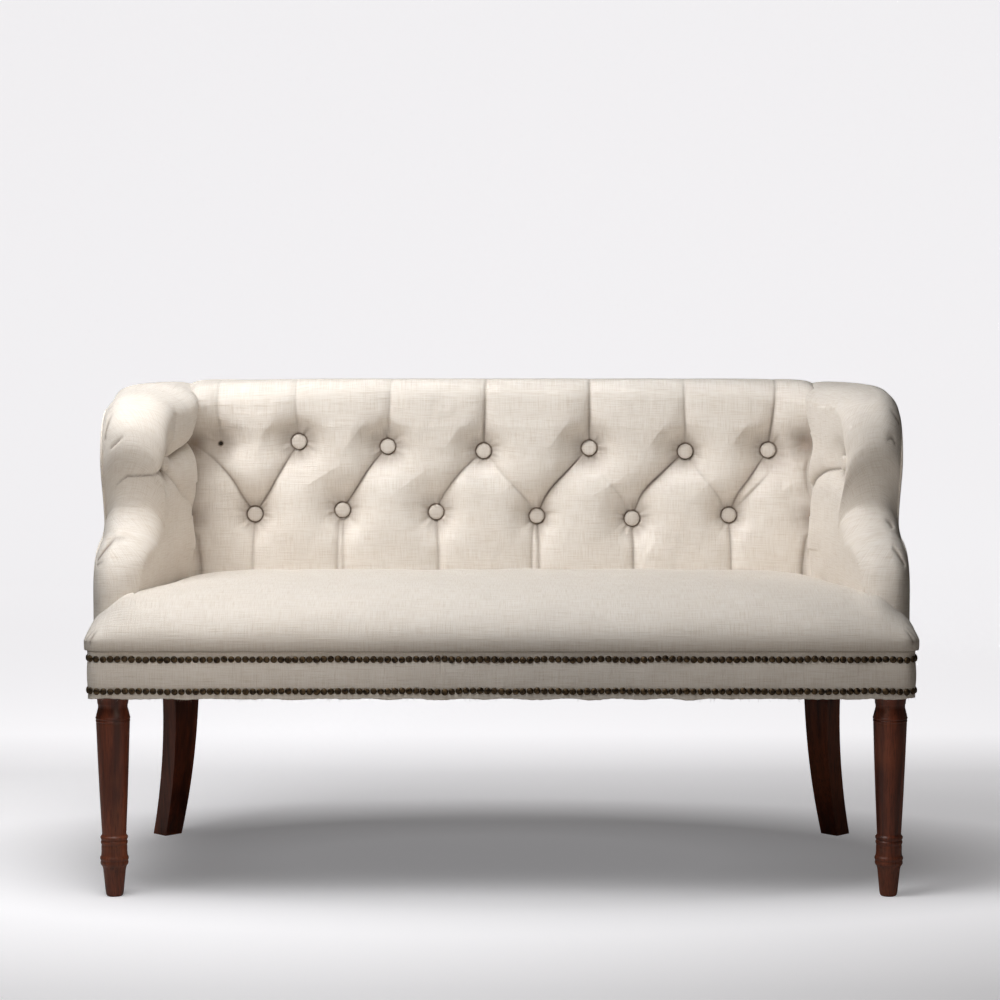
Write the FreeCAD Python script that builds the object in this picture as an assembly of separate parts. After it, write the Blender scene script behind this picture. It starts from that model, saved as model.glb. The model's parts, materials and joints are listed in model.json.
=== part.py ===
"""Deep-buttoned settee: a two-seat upholstered settee on four legs, as separate pieces in millimetres.

The frame is hardwood: seat rails with rounded rear corners, posts, a top rail and shaped wing boards.
The front legs are turned, and the rear legs are swept out towards the rear corners.
Interlaced webbing and hessian carry the crowned seat and the stuffing of the back.
The buttoned back ends at a pleat in each corner, and the wings sweep down from there into the arms.

The origin is on the floor under the middle of the settee. +X is to the right as seen from the front,
+Y runs back and +Z up, so the front faces -Y. Pieces of one side are made on the right and mirrored.
"""
import FreeCAD
import Part
import math
import os

V = FreeCAD.Vector
ORIGIN = V(0, 0, 0)
UP = V(0, 0, 1)

# Overall size
overall_width = 1320.0
overall_depth = 628.0
overall_height = 804.0

# Covers and padding
cover = 4.0                   # linen with its wadding, over the outside of the frame
seat_overhang = 6.0           # how far the seat roll stands proud of the covered rails
fit = 0.3                     # clearance between pieces that touch along curved faces
soft_gap = 1.0                # clearance between the seat and the pads round it

# Seat rails
rail_bottom = 322.0
rail_height = 70.0
front_rail_thickness = 28.0
ledge_rail_thickness = 45.0   # side and back rails are wide enough to carry the webbing beside the boards
bent_rail_thickness = 25.0    # the curved pieces in the rear corners
rear_corner_radius = 196.0    # outer face of the frame
front_corner_radius = 16.0
brace_thickness = 24.0
brace_depth = 50.0
brace_reach = 70.0            # how far a corner brace runs along each rail from the leg
cross_brace_x = 205.0
cross_brace_thickness = 22.0
cross_brace_height = 44.0
cross_brace_dip = 12.0

# Front legs
leg_block = 60.0              # square top, between the rails
leg_setback = 3.0
leg_block_rounding = 14.0
leg_top_radius = 28.0
leg_neck_radius = 23.5
leg_collar_radius = 27.3
leg_taper_top_radius = 26.7
leg_taper_bottom_radius = 19.3
leg_bead_radius = 21.8
leg_band_radius = 20.5
leg_ring_radius = 22.6
leg_foot_top_radius = 18.6
leg_foot_radius = 14.3
foot_chamfer = 2.0
turned_sides = 18
corner_sides = 24
collar_height = 285.0         # heights of the turnings above the floor
taper_end_height = 98.0
bead_height = 90.0
ring_height = 56.5
tenon_thickness = 10.0
tenon_length = 24.0
tenon_shoulder = 9.0
tenon_fit = 0.2

# Rear legs
rear_leg_width = 54.0         # along the curve of the corner
rear_leg_thickness = 35.0
rear_foot_width = 36.0
rear_foot_thickness = 34.0
rear_foot_sweep = 40.0        # how far the foot stands out beyond the top of the leg
rear_sweep_start = 262.0
post_width = 40.0
post_thickness = 26.0

# Back frame
top_padding = 18.0            # stuffing over the top rail
top_rail_height = 56.0
back_frame_thickness = 25.0
stile_width = 34.0
stay_rail_height = 42.0
stay_rail_gap = 22.0          # slot through which the covers are pulled

# Webbing and hessian
web_thickness = 2.0
web_width = 52.0
web_ramp = 5.0
seat_web_pitch = 112.0
hessian_thickness = 1.0
web_lap = 16.0                # how far the webbing lies on the front and back rails
web_end_gap = 2.0
back_web_pitch = 104.0
back_cross_webs = 3
dust_cover_thickness = 1.0

# Seat
seat_crown_height = 490.0
seat_shoulder_height = 461.0
seat_shoulder_reach = 41.0    # from the front of the roll back to the shoulder
seat_roll_height = 412.0      # where the roll stands furthest forward
seat_back_height = 478.0
seat_stations = (             # from the middle to the side: distance in from the side, then how far the
    (408.0, 0.0, 0.0, 0.0, 0.0, 0.0),      # crown and the shoulder are lower, how far the roll and its
    (239.0, 2.0, 0.5, 0.0, 0.0, 0.0),      # foot are further back, and how far the foot is lifted
    (131.0, 7.5, 2.0, 0.0, 0.0, 0.0),
    (59.0, 15.0, 5.0, 0.0, 0.0, 0.0),
    (33.0, 20.0, 7.5, 1.0, 0.5, 0.0),
    (19.0, 28.0, 13.0, 3.5, 3.0, 0.0),
    (8.0, 42.0, 24.0, 9.0, 8.0, 0.5),
    (2.0, 57.0, 34.0, 17.0, 15.0, 2.0),
    (0.0, 69.0, 44.0, 27.0, 24.0, 6.0))

# Buttoned back
button_pitch = 166.0
button_shift = -17.0          # the row sits a little to one side of the middle
button_drift = (0, -12, -15, -4, -3, 0)   # each lower button's own error, as set by hand
lower_row_height = 567.0
upper_row_height = 686.0
button_diameter = 25.5
button_thickness = 7.0
button_rim = 3.0
button_crown_share = 0.66     # the flat of the button's face, as a share of its width
button_sides = 12
pocket_slack = 0.8
pocket_reach = 60.0
button_sink = 5.0             # the buttons' seats lie this far behind the pleats
back_thickness_at_buttons = 38.0
back_crown = 36.0             # how far the puffs stand in front of the pleats
pleat_fill = 12.0             # the pleats between two buttons are this much shallower
pleat_depth_share = 0.45      # the upright pleats keep this share of the puffs' fullness
top_pleat_depth = 7.0
rising_shares = (0.0, 0.3, 0.65)           # sections from a lower button to the next upper one
falling_shares = (1.0, 0.65, 0.3)          # and from there down to the lower button after it
back_bow = 20.0               # the inside back is hollow from side to side
bow_half_width = 430.0
inner_corner_radius = 150.0
back_foot_forward = 6.0
puff_lift = 6.0               # the lower puffs start this far above the back of the seat
top_roll_setback = 50.0       # from the outside back to the top of the roll
top_roll_front = 92.0         # from the outside back to the front of the roll
top_roll_front_height = 772.0

# Wings and arms
arm_thickness = 60.0          # at the front, without the outside cover
wing_flare = 45.0             # how much nearer each other the wings are at the back
wing_flare_depth = 423.0
wing_height = 799.0
arm_front_setback = 62.0      # behind the covered front rail
wing_front_setback = 185.0
wing_top_setback = 265.0
arm_height = 575.0
arm_crown = (60.0, -12.0)     # front of the arm's top, from the arm's front and top
arm_knuckle = (14.0, -46.0)   # where it turns down
arm_nose_drop = 90.0
wing_front_height = 715.0
wing_brow = (22.0, -24.0)     # between the wing's front and its top
wing_cheek = (-3.0, 0.0)      # furthest forward
wing_jaw = (10.0, -66.0)      # between the cheek and the neck
slanting = 0.7                # share of an inset along each axis where the outline slants
neck_setback = 240.0
neck_height = 594.0
wing_roll = 38.0              # stuffing between the wing board's edge and the outline
wing_face_rings = ((64.0, 0.0), (26.0, 3.0), (8.0, 11.0), (0.0, 24.0))   # inset, and depth from the inside
wing_edge_rings = ((0.0, 28.0), (8.0, 13.0), (34.0, 0.0))                # inset, and depth from the outside
wing_board_thickness = 25.0
arm_rail_width = 30.0
arm_rail_height = 32.0
puff_steps = 4                # flats up each puff of the back
arc_steps = 4                 # flats along each arc of a stuffed outline
thin_field = 0.001            # fields with less area than this are left out of a skin
wing_button_setback = 251.0
wing_button_height = 676.0

# Nail trim
nail_width = 10.5
nail_dome = 2.5
upper_nail_height = 384.0
lower_nail_height = 333.5

# Places that follow from the sizes above
face_x = overall_width / 2 - seat_overhang
front_face_y = -overall_depth / 2 + seat_overhang
rear_face_y = overall_depth / 2 - nail_dome
frame_x = face_x - cover
frame_front_y = front_face_y + cover
frame_rear_y = rear_face_y - cover
rail_top = rail_bottom + rail_height
corner_x = frame_x - rear_corner_radius
corner_y = frame_rear_y - rear_corner_radius
front_rail_back_y = frame_front_y + front_rail_thickness
back_rail_front_y = frame_rear_y - ledge_rail_thickness
side_rail_inner_x = frame_x - ledge_rail_thickness
back_frame_y = frame_rear_y - back_frame_thickness
board_x = frame_x - wing_board_thickness
leg_x = frame_x - leg_setback - leg_block / 2
leg_y = frame_front_y + leg_setback + leg_block / 2
deck_height = rail_top + 2 * web_thickness + hessian_thickness
top_rail_top = overall_height - top_padding
top_rail_bottom = top_rail_top - top_rail_height
stay_rail_bottom = rail_top + stay_rail_gap
pad_rear_y = back_frame_y - 2 * web_thickness - hessian_thickness
pleat_y = pad_rear_y - back_thickness_at_buttons
post_radius = (math.sqrt((rear_corner_radius - bent_rail_thickness) ** 2 - (rear_leg_width / 2) ** 2)
               - fit - rear_leg_thickness / 2)
back_post_radius = post_radius + (rear_leg_thickness - post_thickness) / 2


def point(x, y, z):
    return V(x, y, z)


def line(a, b):
    return Part.LineSegment(a, b).toShape()


def arc(a, middle, b):
    return Part.Arc(a, middle, b).toShape()


def bend(a, middle, b, steps):
    """Points along an arc, so that a soft form keeps few faces. The first point is left out."""
    curve = Part.Arc(a, middle, b)
    first, last = curve.FirstParameter, curve.LastParameter
    return [curve.value(first + (last - first) * (i + 1) / steps) for i in range(steps)]


def outline(points):
    return Part.makePolygon(points + [points[0]])


def box(x0, x1, y0, y1, z0, z1):
    return Part.makeBox(x1 - x0, y1 - y0, z1 - z0, point(x0, y0, z0))


def prism(points, height):
    """A flat outline of points, raised by a height along Z."""
    return Part.Face(outline(points)).extrude(V(0, 0, height))


def turned(profile, sides):
    """A turning about Z with a number of narrow flats, through points of radius and height."""
    rings = []
    for radius, z in profile:
        angles = [2 * math.pi * (i + 0.5) / sides for i in range(sides)]
        rings.append(outline([V(radius * math.cos(a), radius * math.sin(a), z) for a in angles]))
    return Part.makeLoft(rings, True, True)


def mirrored(shape):
    return shape.mirror(ORIGIN, V(1, 0, 0))


def both_sides(name, shape):
    save(name + "_right", shape)
    save(name + "_left", mirrored(shape))


def save(name, shape):
    shape.exportStep("parts/" + name + ".step")


def skin(wires):
    """A closed solid through flat sections with equal numbers of corners. Each field between two
    sections is two flat triangles, and each end is a flat face."""
    rings = [[vertex.Point for vertex in wire.OrderedVertexes] for wire in wires]
    faces = [Part.Face(wires[0]), Part.Face(wires[-1])]
    for ring, after in zip(rings, rings[1:]):
        for i in range(len(ring)):
            a, b, c, d = ring[i - 1], ring[i], after[i], after[i - 1]
            for corners in ([a, b, c], [a, c, d]):
                if (corners[1] - corners[0]).cross(corners[2] - corners[0]).Length > thin_field:
                    faces.append(Part.Face(outline(corners)))
    shell = Part.makeShell(faces)
    shell.sewShape()
    solid = Part.Solid(shell)
    if solid.Volume < 0:
        solid.reverse()
    return solid


def plan_outline(grow, z):
    """The frame's outline seen from above, grown outwards, as one closed wire."""
    front = frame_front_y - grow
    rear = frame_rear_y + grow
    side = frame_x + grow
    rear_r = rear_corner_radius + grow
    front_r = front_corner_radius + grow
    bend = math.sqrt(0.5)
    edges = []
    for sign in (1, -1):
        front_centre = V(sign * (side - front_r), front + front_r, z)
        rear_centre = V(sign * (side - rear_r), rear - rear_r, z)
        front_arc = [front_centre + V(0, -front_r, 0),
                     front_centre + V(sign * bend * front_r, -bend * front_r, 0),
                     front_centre + V(sign * front_r, 0, 0)]
        rear_arc = [rear_centre + V(sign * rear_r, 0, 0),
                    rear_centre + V(sign * bend * rear_r, bend * rear_r, 0),
                    rear_centre + V(0, rear_r, 0)]
        edges += [arc(*front_arc), line(front_arc[2], rear_arc[0]), arc(*rear_arc)]
    edges.append(line(V(side - front_r, front, z), V(front_r - side, front, z)))
    edges.append(line(V(side - rear_r, rear, z), V(rear_r - side, rear, z)))
    return Part.Wire(Part.__sortEdges__(edges))


def plan_solid(grow, z0, z1):
    return Part.Face(plan_outline(grow, z0)).extrude(V(0, 0, z1 - z0))


def band(inner, outer, z0, z1):
    """A strip that follows the frame's outline, between two distances from it."""
    return plan_solid(outer, z0, z1).cut(plan_solid(inner, z0 - 1, z1 + 1))


def corner_ring(inner_radius, outer_radius, z0, z1):
    """A quarter ring round the centre of the right rear corner."""
    base = point(corner_x, corner_y, z0)
    outer = Part.makeCylinder(outer_radius, z1 - z0, base, UP, 90)
    inner = Part.makeCylinder(inner_radius, z1 - z0, base, UP, 90)
    return outer.cut(inner)


def turned_block(width, thickness, radius, z0, z1):
    """An upright square piece in the right rear corner, turned to face its centre."""
    block = box(-thickness / 2, thickness / 2, -width / 2, width / 2, z0, z1)
    block.translate(V(radius, 0, 0))
    block.rotate(ORIGIN, UP, 45)
    block.translate(V(corner_x, corner_y, 0))
    return block


# Seat rails
def tenons(slack):
    """The tenons of the rails that meet in the right front leg; with slack they are its mortises."""
    z0 = rail_bottom + tenon_shoulder - slack
    z1 = rail_top - tenon_shoulder + slack
    half = tenon_thickness / 2 + slack
    inner_leg = leg_x - leg_block / 2
    middle_y = frame_front_y + front_rail_thickness / 2 + leg_setback / 2
    middle_x = frame_x - ledge_rail_thickness / 2
    back_leg = leg_y + leg_block / 2
    return [box(inner_leg - slack, inner_leg + tenon_length + slack, middle_y - half, middle_y + half, z0, z1),
            box(middle_x - half, middle_x + half, back_leg - tenon_length - slack, back_leg + slack, z0, z1)]


def seat_rails():
    inner_leg = leg_x - leg_block / 2
    front_tenon, side_tenon = tenons(0.0)
    front = box(-inner_leg, inner_leg, frame_front_y, front_rail_back_y, rail_bottom, rail_top)
    save("front_rail", front.fuse([front_tenon, mirrored(front_tenon)]))
    side = box(side_rail_inner_x, frame_x, leg_y + leg_block / 2, corner_y, rail_bottom, rail_top)
    both_sides("side_rail", side.fuse(side_tenon))
    back = box(-corner_x, corner_x, back_rail_front_y, frame_rear_y, rail_bottom, rail_top)
    save("back_rail", back)
    ring = corner_ring(rear_corner_radius - bent_rail_thickness, rear_corner_radius, rail_bottom, rail_top)
    both_sides("rear_corner_rail", ring)


def braces():
    z0 = rail_bottom + (rail_height - brace_depth) / 2
    near_x = leg_x - leg_block / 2 - brace_reach / 2
    near_y = leg_y + leg_block / 2 + brace_reach / 2
    slant = brace_thickness * math.sqrt(2)
    corners = [point(near_x, front_rail_back_y, z0), point(side_rail_inner_x, near_y, z0),
               point(side_rail_inner_x, near_y + slant, z0), point(near_x - slant, front_rail_back_y, z0)]
    both_sides("corner_brace", prism(corners, brace_depth))
    z_low = rail_bottom + (rail_height - cross_brace_height) / 4
    z_high = z_low + cross_brace_height
    half = cross_brace_thickness / 2
    middle_y = (front_rail_back_y + back_rail_front_y) / 2
    pieces = []
    for side in (-1, 1):
        x = side * cross_brace_x - half
        ends = [point(x, front_rail_back_y, z_low), point(x, back_rail_front_y, z_low),
                point(x, back_rail_front_y, z_high), point(x, front_rail_back_y, z_high)]
        edges = [line(ends[0], ends[1]), line(ends[1], ends[2]),
                 arc(ends[2], point(x, middle_y, z_high - cross_brace_dip), ends[3]),
                 line(ends[3], ends[0])]
        pieces.append(Part.Face(Part.Wire(edges)).extrude(V(2 * half, 0, 0)))
    save("seat_cross_braces", Part.makeCompound(pieces))


# Front legs
def bead(z, radius, waist, half_height):
    """A bead on a turning, as points from its upper side to its lower side."""
    return [(waist, z + half_height), (radius, z + half_height * 0.3),
            (radius, z - half_height * 0.3), (waist, z - half_height)]


def leg_profile():
    """The turned outline from the rail down to the floor, as points of radius and height."""
    collar = collar_height
    cove_z = (rail_bottom + collar) / 2
    band = leg_band_radius
    points = [(leg_top_radius, rail_bottom), (leg_top_radius, rail_bottom - 2.0),
              (leg_neck_radius + 1.5, rail_bottom - 6.0), (leg_neck_radius + 1.0, rail_bottom - 13.0),
              (leg_neck_radius, cove_z), (leg_neck_radius + 1.2, cove_z - 8.0)]
    points += bead(collar + 2.2, leg_collar_radius, leg_taper_top_radius - 0.6, 1.8)[:3]
    points += bead(collar - 2.6, leg_collar_radius, leg_taper_top_radius - 0.6, 1.8)[:3]
    points += [(leg_taper_top_radius, collar - 6.0), (leg_taper_bottom_radius, taper_end_height)]
    points += bead(bead_height + 4.2, leg_bead_radius, band - 0.3, 3.2)[1:]
    points += bead(bead_height - 4.0, leg_bead_radius - 0.6, band - 0.3, 3.2)[1:]
    points += bead(ring_height + 5.0, leg_ring_radius, band, 3.6)
    points += bead(ring_height - 3.2, leg_ring_radius - 0.4, leg_foot_top_radius + 1.0, 4.0)[1:]
    points += [(leg_foot_top_radius, ring_height - 10.0),
               (leg_foot_radius, foot_chamfer), (leg_foot_radius - foot_chamfer, 0.0)]
    return points


def front_leg():
    turning = turned(leg_profile(), turned_sides)
    half = leg_block / 2
    block = box(-half, half, -half, half, rail_bottom, rail_top)
    outer = [e for e in block.Edges if abs(e.CenterOfMass.x - half) < 0.1 and abs(e.CenterOfMass.y + half) < 0.1]
    block = block.makeFillet(leg_block_rounding, outer)
    leg = block.fuse(turning)
    leg.translate(V(leg_x, leg_y, 0))
    return leg.cut(tenons(tenon_fit)).removeSplitter()


# Rear legs
def rear_leg_section(z, offset, width, thickness):
    """A square section across the rear leg, as a closed wire that faces the corner's centre."""
    centre = post_radius + offset
    half_w, half_t = width / 2, thickness / 2
    corners = [V(centre - half_t, -half_w, z), V(centre + half_t, -half_w, z),
               V(centre + half_t, half_w, z), V(centre - half_t, half_w, z)]
    wire = Part.makePolygon(corners + [corners[0]])
    wire.rotate(ORIGIN, UP, 45)
    wire.translate(V(corner_x, corner_y, 0))
    return wire


def rear_leg():
    sections = []
    steps = 4
    for i in range(steps + 1):
        z = rear_sweep_start * i / steps
        down = 1 - z / rear_sweep_start
        width = rear_leg_width + (rear_foot_width - rear_leg_width) * down ** 0.8
        thickness = rear_leg_thickness + (rear_foot_thickness - rear_leg_thickness) * down
        sections.append(rear_leg_section(z, rear_foot_sweep * down ** 2, width, thickness))
    sabre = Part.makeLoft(sections, True, False)
    top = turned_block(rear_leg_width, rear_leg_thickness, post_radius, rear_sweep_start, rail_top)
    post = turned_block(post_width, post_thickness, back_post_radius, rail_top, top_rail_top)
    return sabre.fuse([top, post]).removeSplitter()


# Back frame
def back_frame():
    save("top_rail", box(-corner_x, corner_x, back_frame_y, frame_rear_y, top_rail_bottom, top_rail_top))
    inner = rear_corner_radius - bent_rail_thickness
    both_sides("top_corner_rail", corner_ring(inner, rear_corner_radius, top_rail_bottom, top_rail_top))
    stile = box(-stile_width / 2, stile_width / 2, back_frame_y, frame_rear_y, rail_top, top_rail_bottom)
    stiles = []
    for x in (-corner_x + stile_width / 2, 0, corner_x - stile_width / 2):
        copy = stile.copy()
        copy.translate(V(x, 0, 0))
        stiles.append(copy)
    save("back_stiles", Part.makeCompound(stiles))
    stay = box(stile_width / 2, corner_x - stile_width, back_frame_y, frame_rear_y,
               stay_rail_bottom, stay_rail_bottom + stay_rail_height)
    save("stay_rails", Part.makeCompound([stay, mirrored(stay)]))


# Wings and arms
def wing_inner_x(y):
    """Where the wing's inside lies at a distance behind the front."""
    start = front_face_y + arm_front_setback
    return frame_x - arm_thickness - wing_flare * (y - start) / wing_flare_depth


def wing_points(inset, bottom, rear, rear_top):
    """The side outline of wing and arm, drawn in by an inset, as runs of (y, z)."""
    face = front_face_y
    wing_y = face + wing_front_setback
    arm_y = face + arm_front_setback
    both = inset * slanting
    crest = (face + wing_top_setback, wing_height - inset)
    brow = (wing_y + wing_brow[0] + both, wing_height + wing_brow[1] - both)
    cheek = (wing_y + wing_cheek[0] + inset, wing_front_height + wing_cheek[1])
    jaw = (wing_y + wing_jaw[0] + inset, wing_front_height + wing_jaw[1])
    neck = (face + neck_setback + both, neck_height - both)
    arm_mid = (wing_y, arm_height - inset)
    arm_front = (arm_y + arm_crown[0], arm_height + arm_crown[1] - inset)
    knuckle = (arm_y + arm_knuckle[0] + both, arm_height + arm_knuckle[1] - both)
    nose = (arm_y + inset, arm_height - arm_nose_drop)
    return [[(rear, bottom), (rear, rear_top)], [(rear, rear_top), crest], [crest, brow, cheek],
            [cheek, jaw, neck], [neck, arm_mid, arm_front], [arm_front, knuckle, nose],
            [nose, (nose[0], bottom)], [(nose[0], bottom), (rear, bottom)]]


def wing_wire(inset, bottom, x_at):
    """The side outline as a wire in the upright plane that x_at gives for each y."""
    points = []
    for run in wing_points(inset, bottom, frame_rear_y + cover, wing_height - inset):
        spots = [V(x_at(y), y, z) for y, z in run]
        points += bend(*spots, arc_steps) if len(spots) == 3 else [spots[1]]
    return outline(points)


def wing_panel(inset, bottom, x0, x1):
    """A board with the side outline, drawn in by an inset, in front of the rounded corner."""
    edges = []
    for run in wing_points(inset, bottom, corner_y, top_rail_top + wing_roll - inset):
        spots = [V(x0, y, z) for y, z in run]
        edges.append(arc(*spots) if len(spots) == 3 else line(*spots))
    return Part.Face(Part.Wire(edges)).extrude(V(x1 - x0, 0, 0))


def arm_rail():
    """A rail on the inside of the board, under the roll of the arm."""
    y0 = front_face_y + arm_front_setback + wing_roll
    y1 = front_face_y + neck_setback + 60
    top = arm_height - wing_roll - 22
    rail = box(board_x - arm_rail_width, board_x, y0, y1, top - arm_rail_height, top)
    edges = [e for e in rail.Edges if abs(e.CenterOfMass.x - (board_x - arm_rail_width)) < 0.1
             and abs(e.CenterOfMass.z - top) < 0.1]
    return rail.makeFillet(arm_rail_width / 3, edges)


def button_recess(spot, direction):
    """A round pocket for a button, with a flat floor on which it sits."""
    radius = button_diameter / 2 + pocket_slack
    shape = turned([(radius, 0.0), (radius, pocket_reach)], button_sides)
    shape.Placement = FreeCAD.Placement(spot, FreeCAD.Rotation(UP, direction))
    return shape


def button(spot, direction):
    """A covered button, crowned towards its face."""
    r = button_diameter / 2
    profile = [(r, 0.0), (r, button_rim), (r * button_crown_share, button_thickness)]
    shape = turned(profile, button_sides)
    shape.Placement = FreeCAD.Placement(spot, FreeCAD.Rotation(UP, direction))
    return shape


def corner_seam(side):
    """The pleat in the corner: where it runs in plan, and the way its buttons face."""
    y = pleat_y - inner_shift(corner_station())
    x = wing_inner_x(y)
    return x * side, y, V(-side, -1, 0).normalize()


def wing_button(side):
    y = front_face_y + wing_button_setback
    x = wing_inner_x(y) + button_sink
    return V(side * x, y, wing_button_height), V(-side, 0, 0)


def pocket_seats():
    """Every button's seat: its place and the way that it faces, for both rows and the wings."""
    lower, upper = [], []
    for x in lower_columns():
        lower.append((V(x, pleat_y - inner_shift(x) + button_sink, lower_row_height), V(0, -1, 0)))
    for x in upper_columns()[1:]:
        upper.append((V(x, pleat_y - inner_shift(x) + button_sink, upper_row_height), V(0, -1, 0)))
    for side in (-1, 1):
        x, y, way = corner_seam(side)
        seat = V(x, y, 0) - way * button_sink
        lower.append((seat + V(0, 0, lower_row_height), way))
        upper.append((seat + V(0, 0, upper_row_height), way))
        upper.append(wing_button(side))
    return lower, upper


def carved(shape):
    """A pad with the pockets of all buttons that lie in it."""
    lower, upper = pocket_seats()
    x = upper_columns()[0]
    lost = [(V(x, pleat_y - inner_shift(x) + button_sink, upper_row_height), V(0, -1, 0))]
    for spot, way in lower + upper + lost:
        pocket = button_recess(spot, way)
        if pocket.BoundBox.intersect(shape.BoundBox):
            shape = shape.cut(pocket)
    return shape


def inside_wing():
    """The stuffed inside of wing and arm: a pillow drawn in at its rim, with a crowned inner face."""
    wires = [wing_wire(inset, deck_height, lambda y, d=depth: wing_inner_x(y) + d)
             for inset, depth in wing_face_rings]
    wires += [wing_wire(inset, deck_height, lambda y, d=depth: face_x - d) for inset, depth in wing_edge_rings]
    return skin(wires)


def wing_envelope():
    """The space of the right wing: inside the bent rails of the corner, and over their tops."""
    hollow = rear_corner_radius - bent_rail_thickness - fit
    r = rear_corner_radius + cover
    ledge = top_rail_top + fit
    top = wing_height + 1
    low = Part.makeCylinder(hollow, ledge - deck_height, V(0, 0, deck_height), UP, 90)
    high = turned([(r, ledge), (r - 8, wing_height - 6), (r - 30, top)], corner_sides)
    high = high.common(box(0, r, 0, r, ledge, top))
    corner = low.fuse(high)
    corner.translate(V(corner_x, corner_y, 0))
    side = box(corner_x, face_x + 1, frame_front_y, corner_y, deck_height, top)
    return side.fuse(corner).removeSplitter()


def wing_pad():
    pad = inside_wing().common(wing_envelope())
    post = turned_block(post_width + 2 * fit, post_thickness + 2 * fit, back_post_radius,
                        deck_height - 1, top_rail_top + fit)
    board = wing_panel(wing_roll - fit, deck_height - 1, board_x - fit, face_x + 1)
    grown = arm_rail().BoundBox
    rail_space = box(grown.XMin - fit, grown.XMax + 1, grown.YMin - fit, grown.YMax + fit,
                     grown.ZMin - fit, grown.ZMax + fit)
    return pad.cut([post, board, rail_space])


# Buttoned back
def lower_columns():
    count = len(button_drift)
    return [button_shift + (i - (count - 1) / 2) * button_pitch + button_drift[i] for i in range(count)]


def corner_station():
    """How far from the middle the inside back meets the wing."""
    return wing_inner_x(pleat_y - 60.0)


def upper_columns():
    spots = [-corner_station()] + lower_columns() + [corner_station()]
    return [(a + b) / 2 for a, b in zip(spots, spots[1:])]


def inner_shift(x):
    """How far the inside back comes forward at x: a shallow bow, then a curve into the corner."""
    beyond = abs(x) - bow_half_width
    if beyond <= 0:
        return back_bow * (x / bow_half_width) ** 2
    beyond = min(beyond, inner_corner_radius * 0.98)
    slope = 2 * back_bow / bow_half_width
    return back_bow + slope * beyond + inner_corner_radius - math.sqrt(inner_corner_radius ** 2 - beyond ** 2)


def pad_rear_at(x, radius, straight_y):
    """The rear of the inside back at x, which follows the rounded corner of the frame."""
    beyond = abs(x) - corner_x
    if beyond <= 0:
        return straight_y
    return corner_y + math.sqrt(radius ** 2 - beyond ** 2)


def back_wire(x, x_at, valley_z, valley, low, high, top_dip):
    """One upright section of the buttoned back. valley, low and high are how far the pleat,
    the lower puff and the upper puff stand in front of the bottom of the pleats."""
    shift = inner_shift(x)
    base = pleat_y - shift
    rear = pad_rear_at(x, rear_corner_radius - (frame_rear_y - pad_rear_y), pad_rear_y)
    outer = pad_rear_at(x, rear_corner_radius + cover - 0.5, rear_face_y - 0.5)
    front = outer - top_roll_front - shift * 0.9 + top_dip
    apex = outer - top_roll_setback - shift * 0.45
    foot = base - back_foot_forward
    z0 = deck_height
    puff_start = seat_back_height + puff_lift
    middle_low = (puff_start + valley_z) / 2
    middle_high = (valley_z + top_roll_front_height) / 2

    def at(y, z):
        return V(x_at(y), y, z)

    pleat = at(base - valley, valley_z)
    shoulder = at(front, top_roll_front_height)
    ridge = at(outer, top_rail_top + 1.0)
    points = [at(rear, z0), at(foot, z0), at(foot, puff_start)]
    points += bend(points[-1], at(base - low, middle_low), pleat, puff_steps)
    points += bend(pleat, at(min(base - high, front + 4), middle_high), shoulder, puff_steps)
    points += bend(shoulder, at(apex, overall_height - top_dip * 0.3), ridge, arc_steps)
    points += [at(outer, top_rail_top + fit), at(rear, top_rail_top + fit)]
    return outline(points)


def half_diamonds():
    """The back's sections from left to right: a lower button, the upper one beside it and the share
    of the way from the first to the second."""
    lower = [-corner_station()] + lower_columns() + [corner_station()]
    sections = []
    for here, following, upper in zip(lower, lower[1:], upper_columns()):
        sections += [(here, upper, t) for t in rising_shares]
        sections += [(following, upper, t) for t in falling_shares]
    return sections + [(lower[-1], upper_columns()[-1], 0.0)]


def back_columns():
    return [lower_x + (upper_x - lower_x) * t for lower_x, upper_x, t in half_diamonds()]


def back_section(from_x, to_x, t):
    """The section at a share t of the way from a lower button to the upper one beside it."""
    x = from_x + (to_x - from_x) * t
    near_upper = math.sqrt(math.sin(math.pi / 2 * t))
    near_lower = math.sqrt(math.sin(math.pi / 2 * (1 - t)))
    valley_z = lower_row_height + (upper_row_height - lower_row_height) * t
    valley = pleat_fill * math.sin(math.pi * t)
    low = back_crown * (pleat_depth_share + (1 - pleat_depth_share) * near_upper)
    high = back_crown * (pleat_depth_share + (1 - pleat_depth_share) * near_lower)
    top_dip = top_pleat_depth * (1 - near_lower)
    side = 1 if x > 0 else -1
    if abs(abs(x) - corner_station()) < 0.01:
        return back_wire(x, lambda y: side * (wing_inner_x(y) - fit), valley_z, valley, low, high, top_dip)
    return back_wire(x, lambda y: x, valley_z, valley, low, high, top_dip)


def inside_back():
    """The stuffed back, section by section: every half diamond runs from one button column to the next."""
    return skin([back_section(*section) for section in half_diamonds()])


def back_pad():
    pad = inside_back()
    post = turned_block(post_width + 2 * fit, post_thickness + 2 * fit, back_post_radius,
                        deck_height - 1, top_rail_top + fit)
    return pad.cut([post, mirrored(post)])


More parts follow.
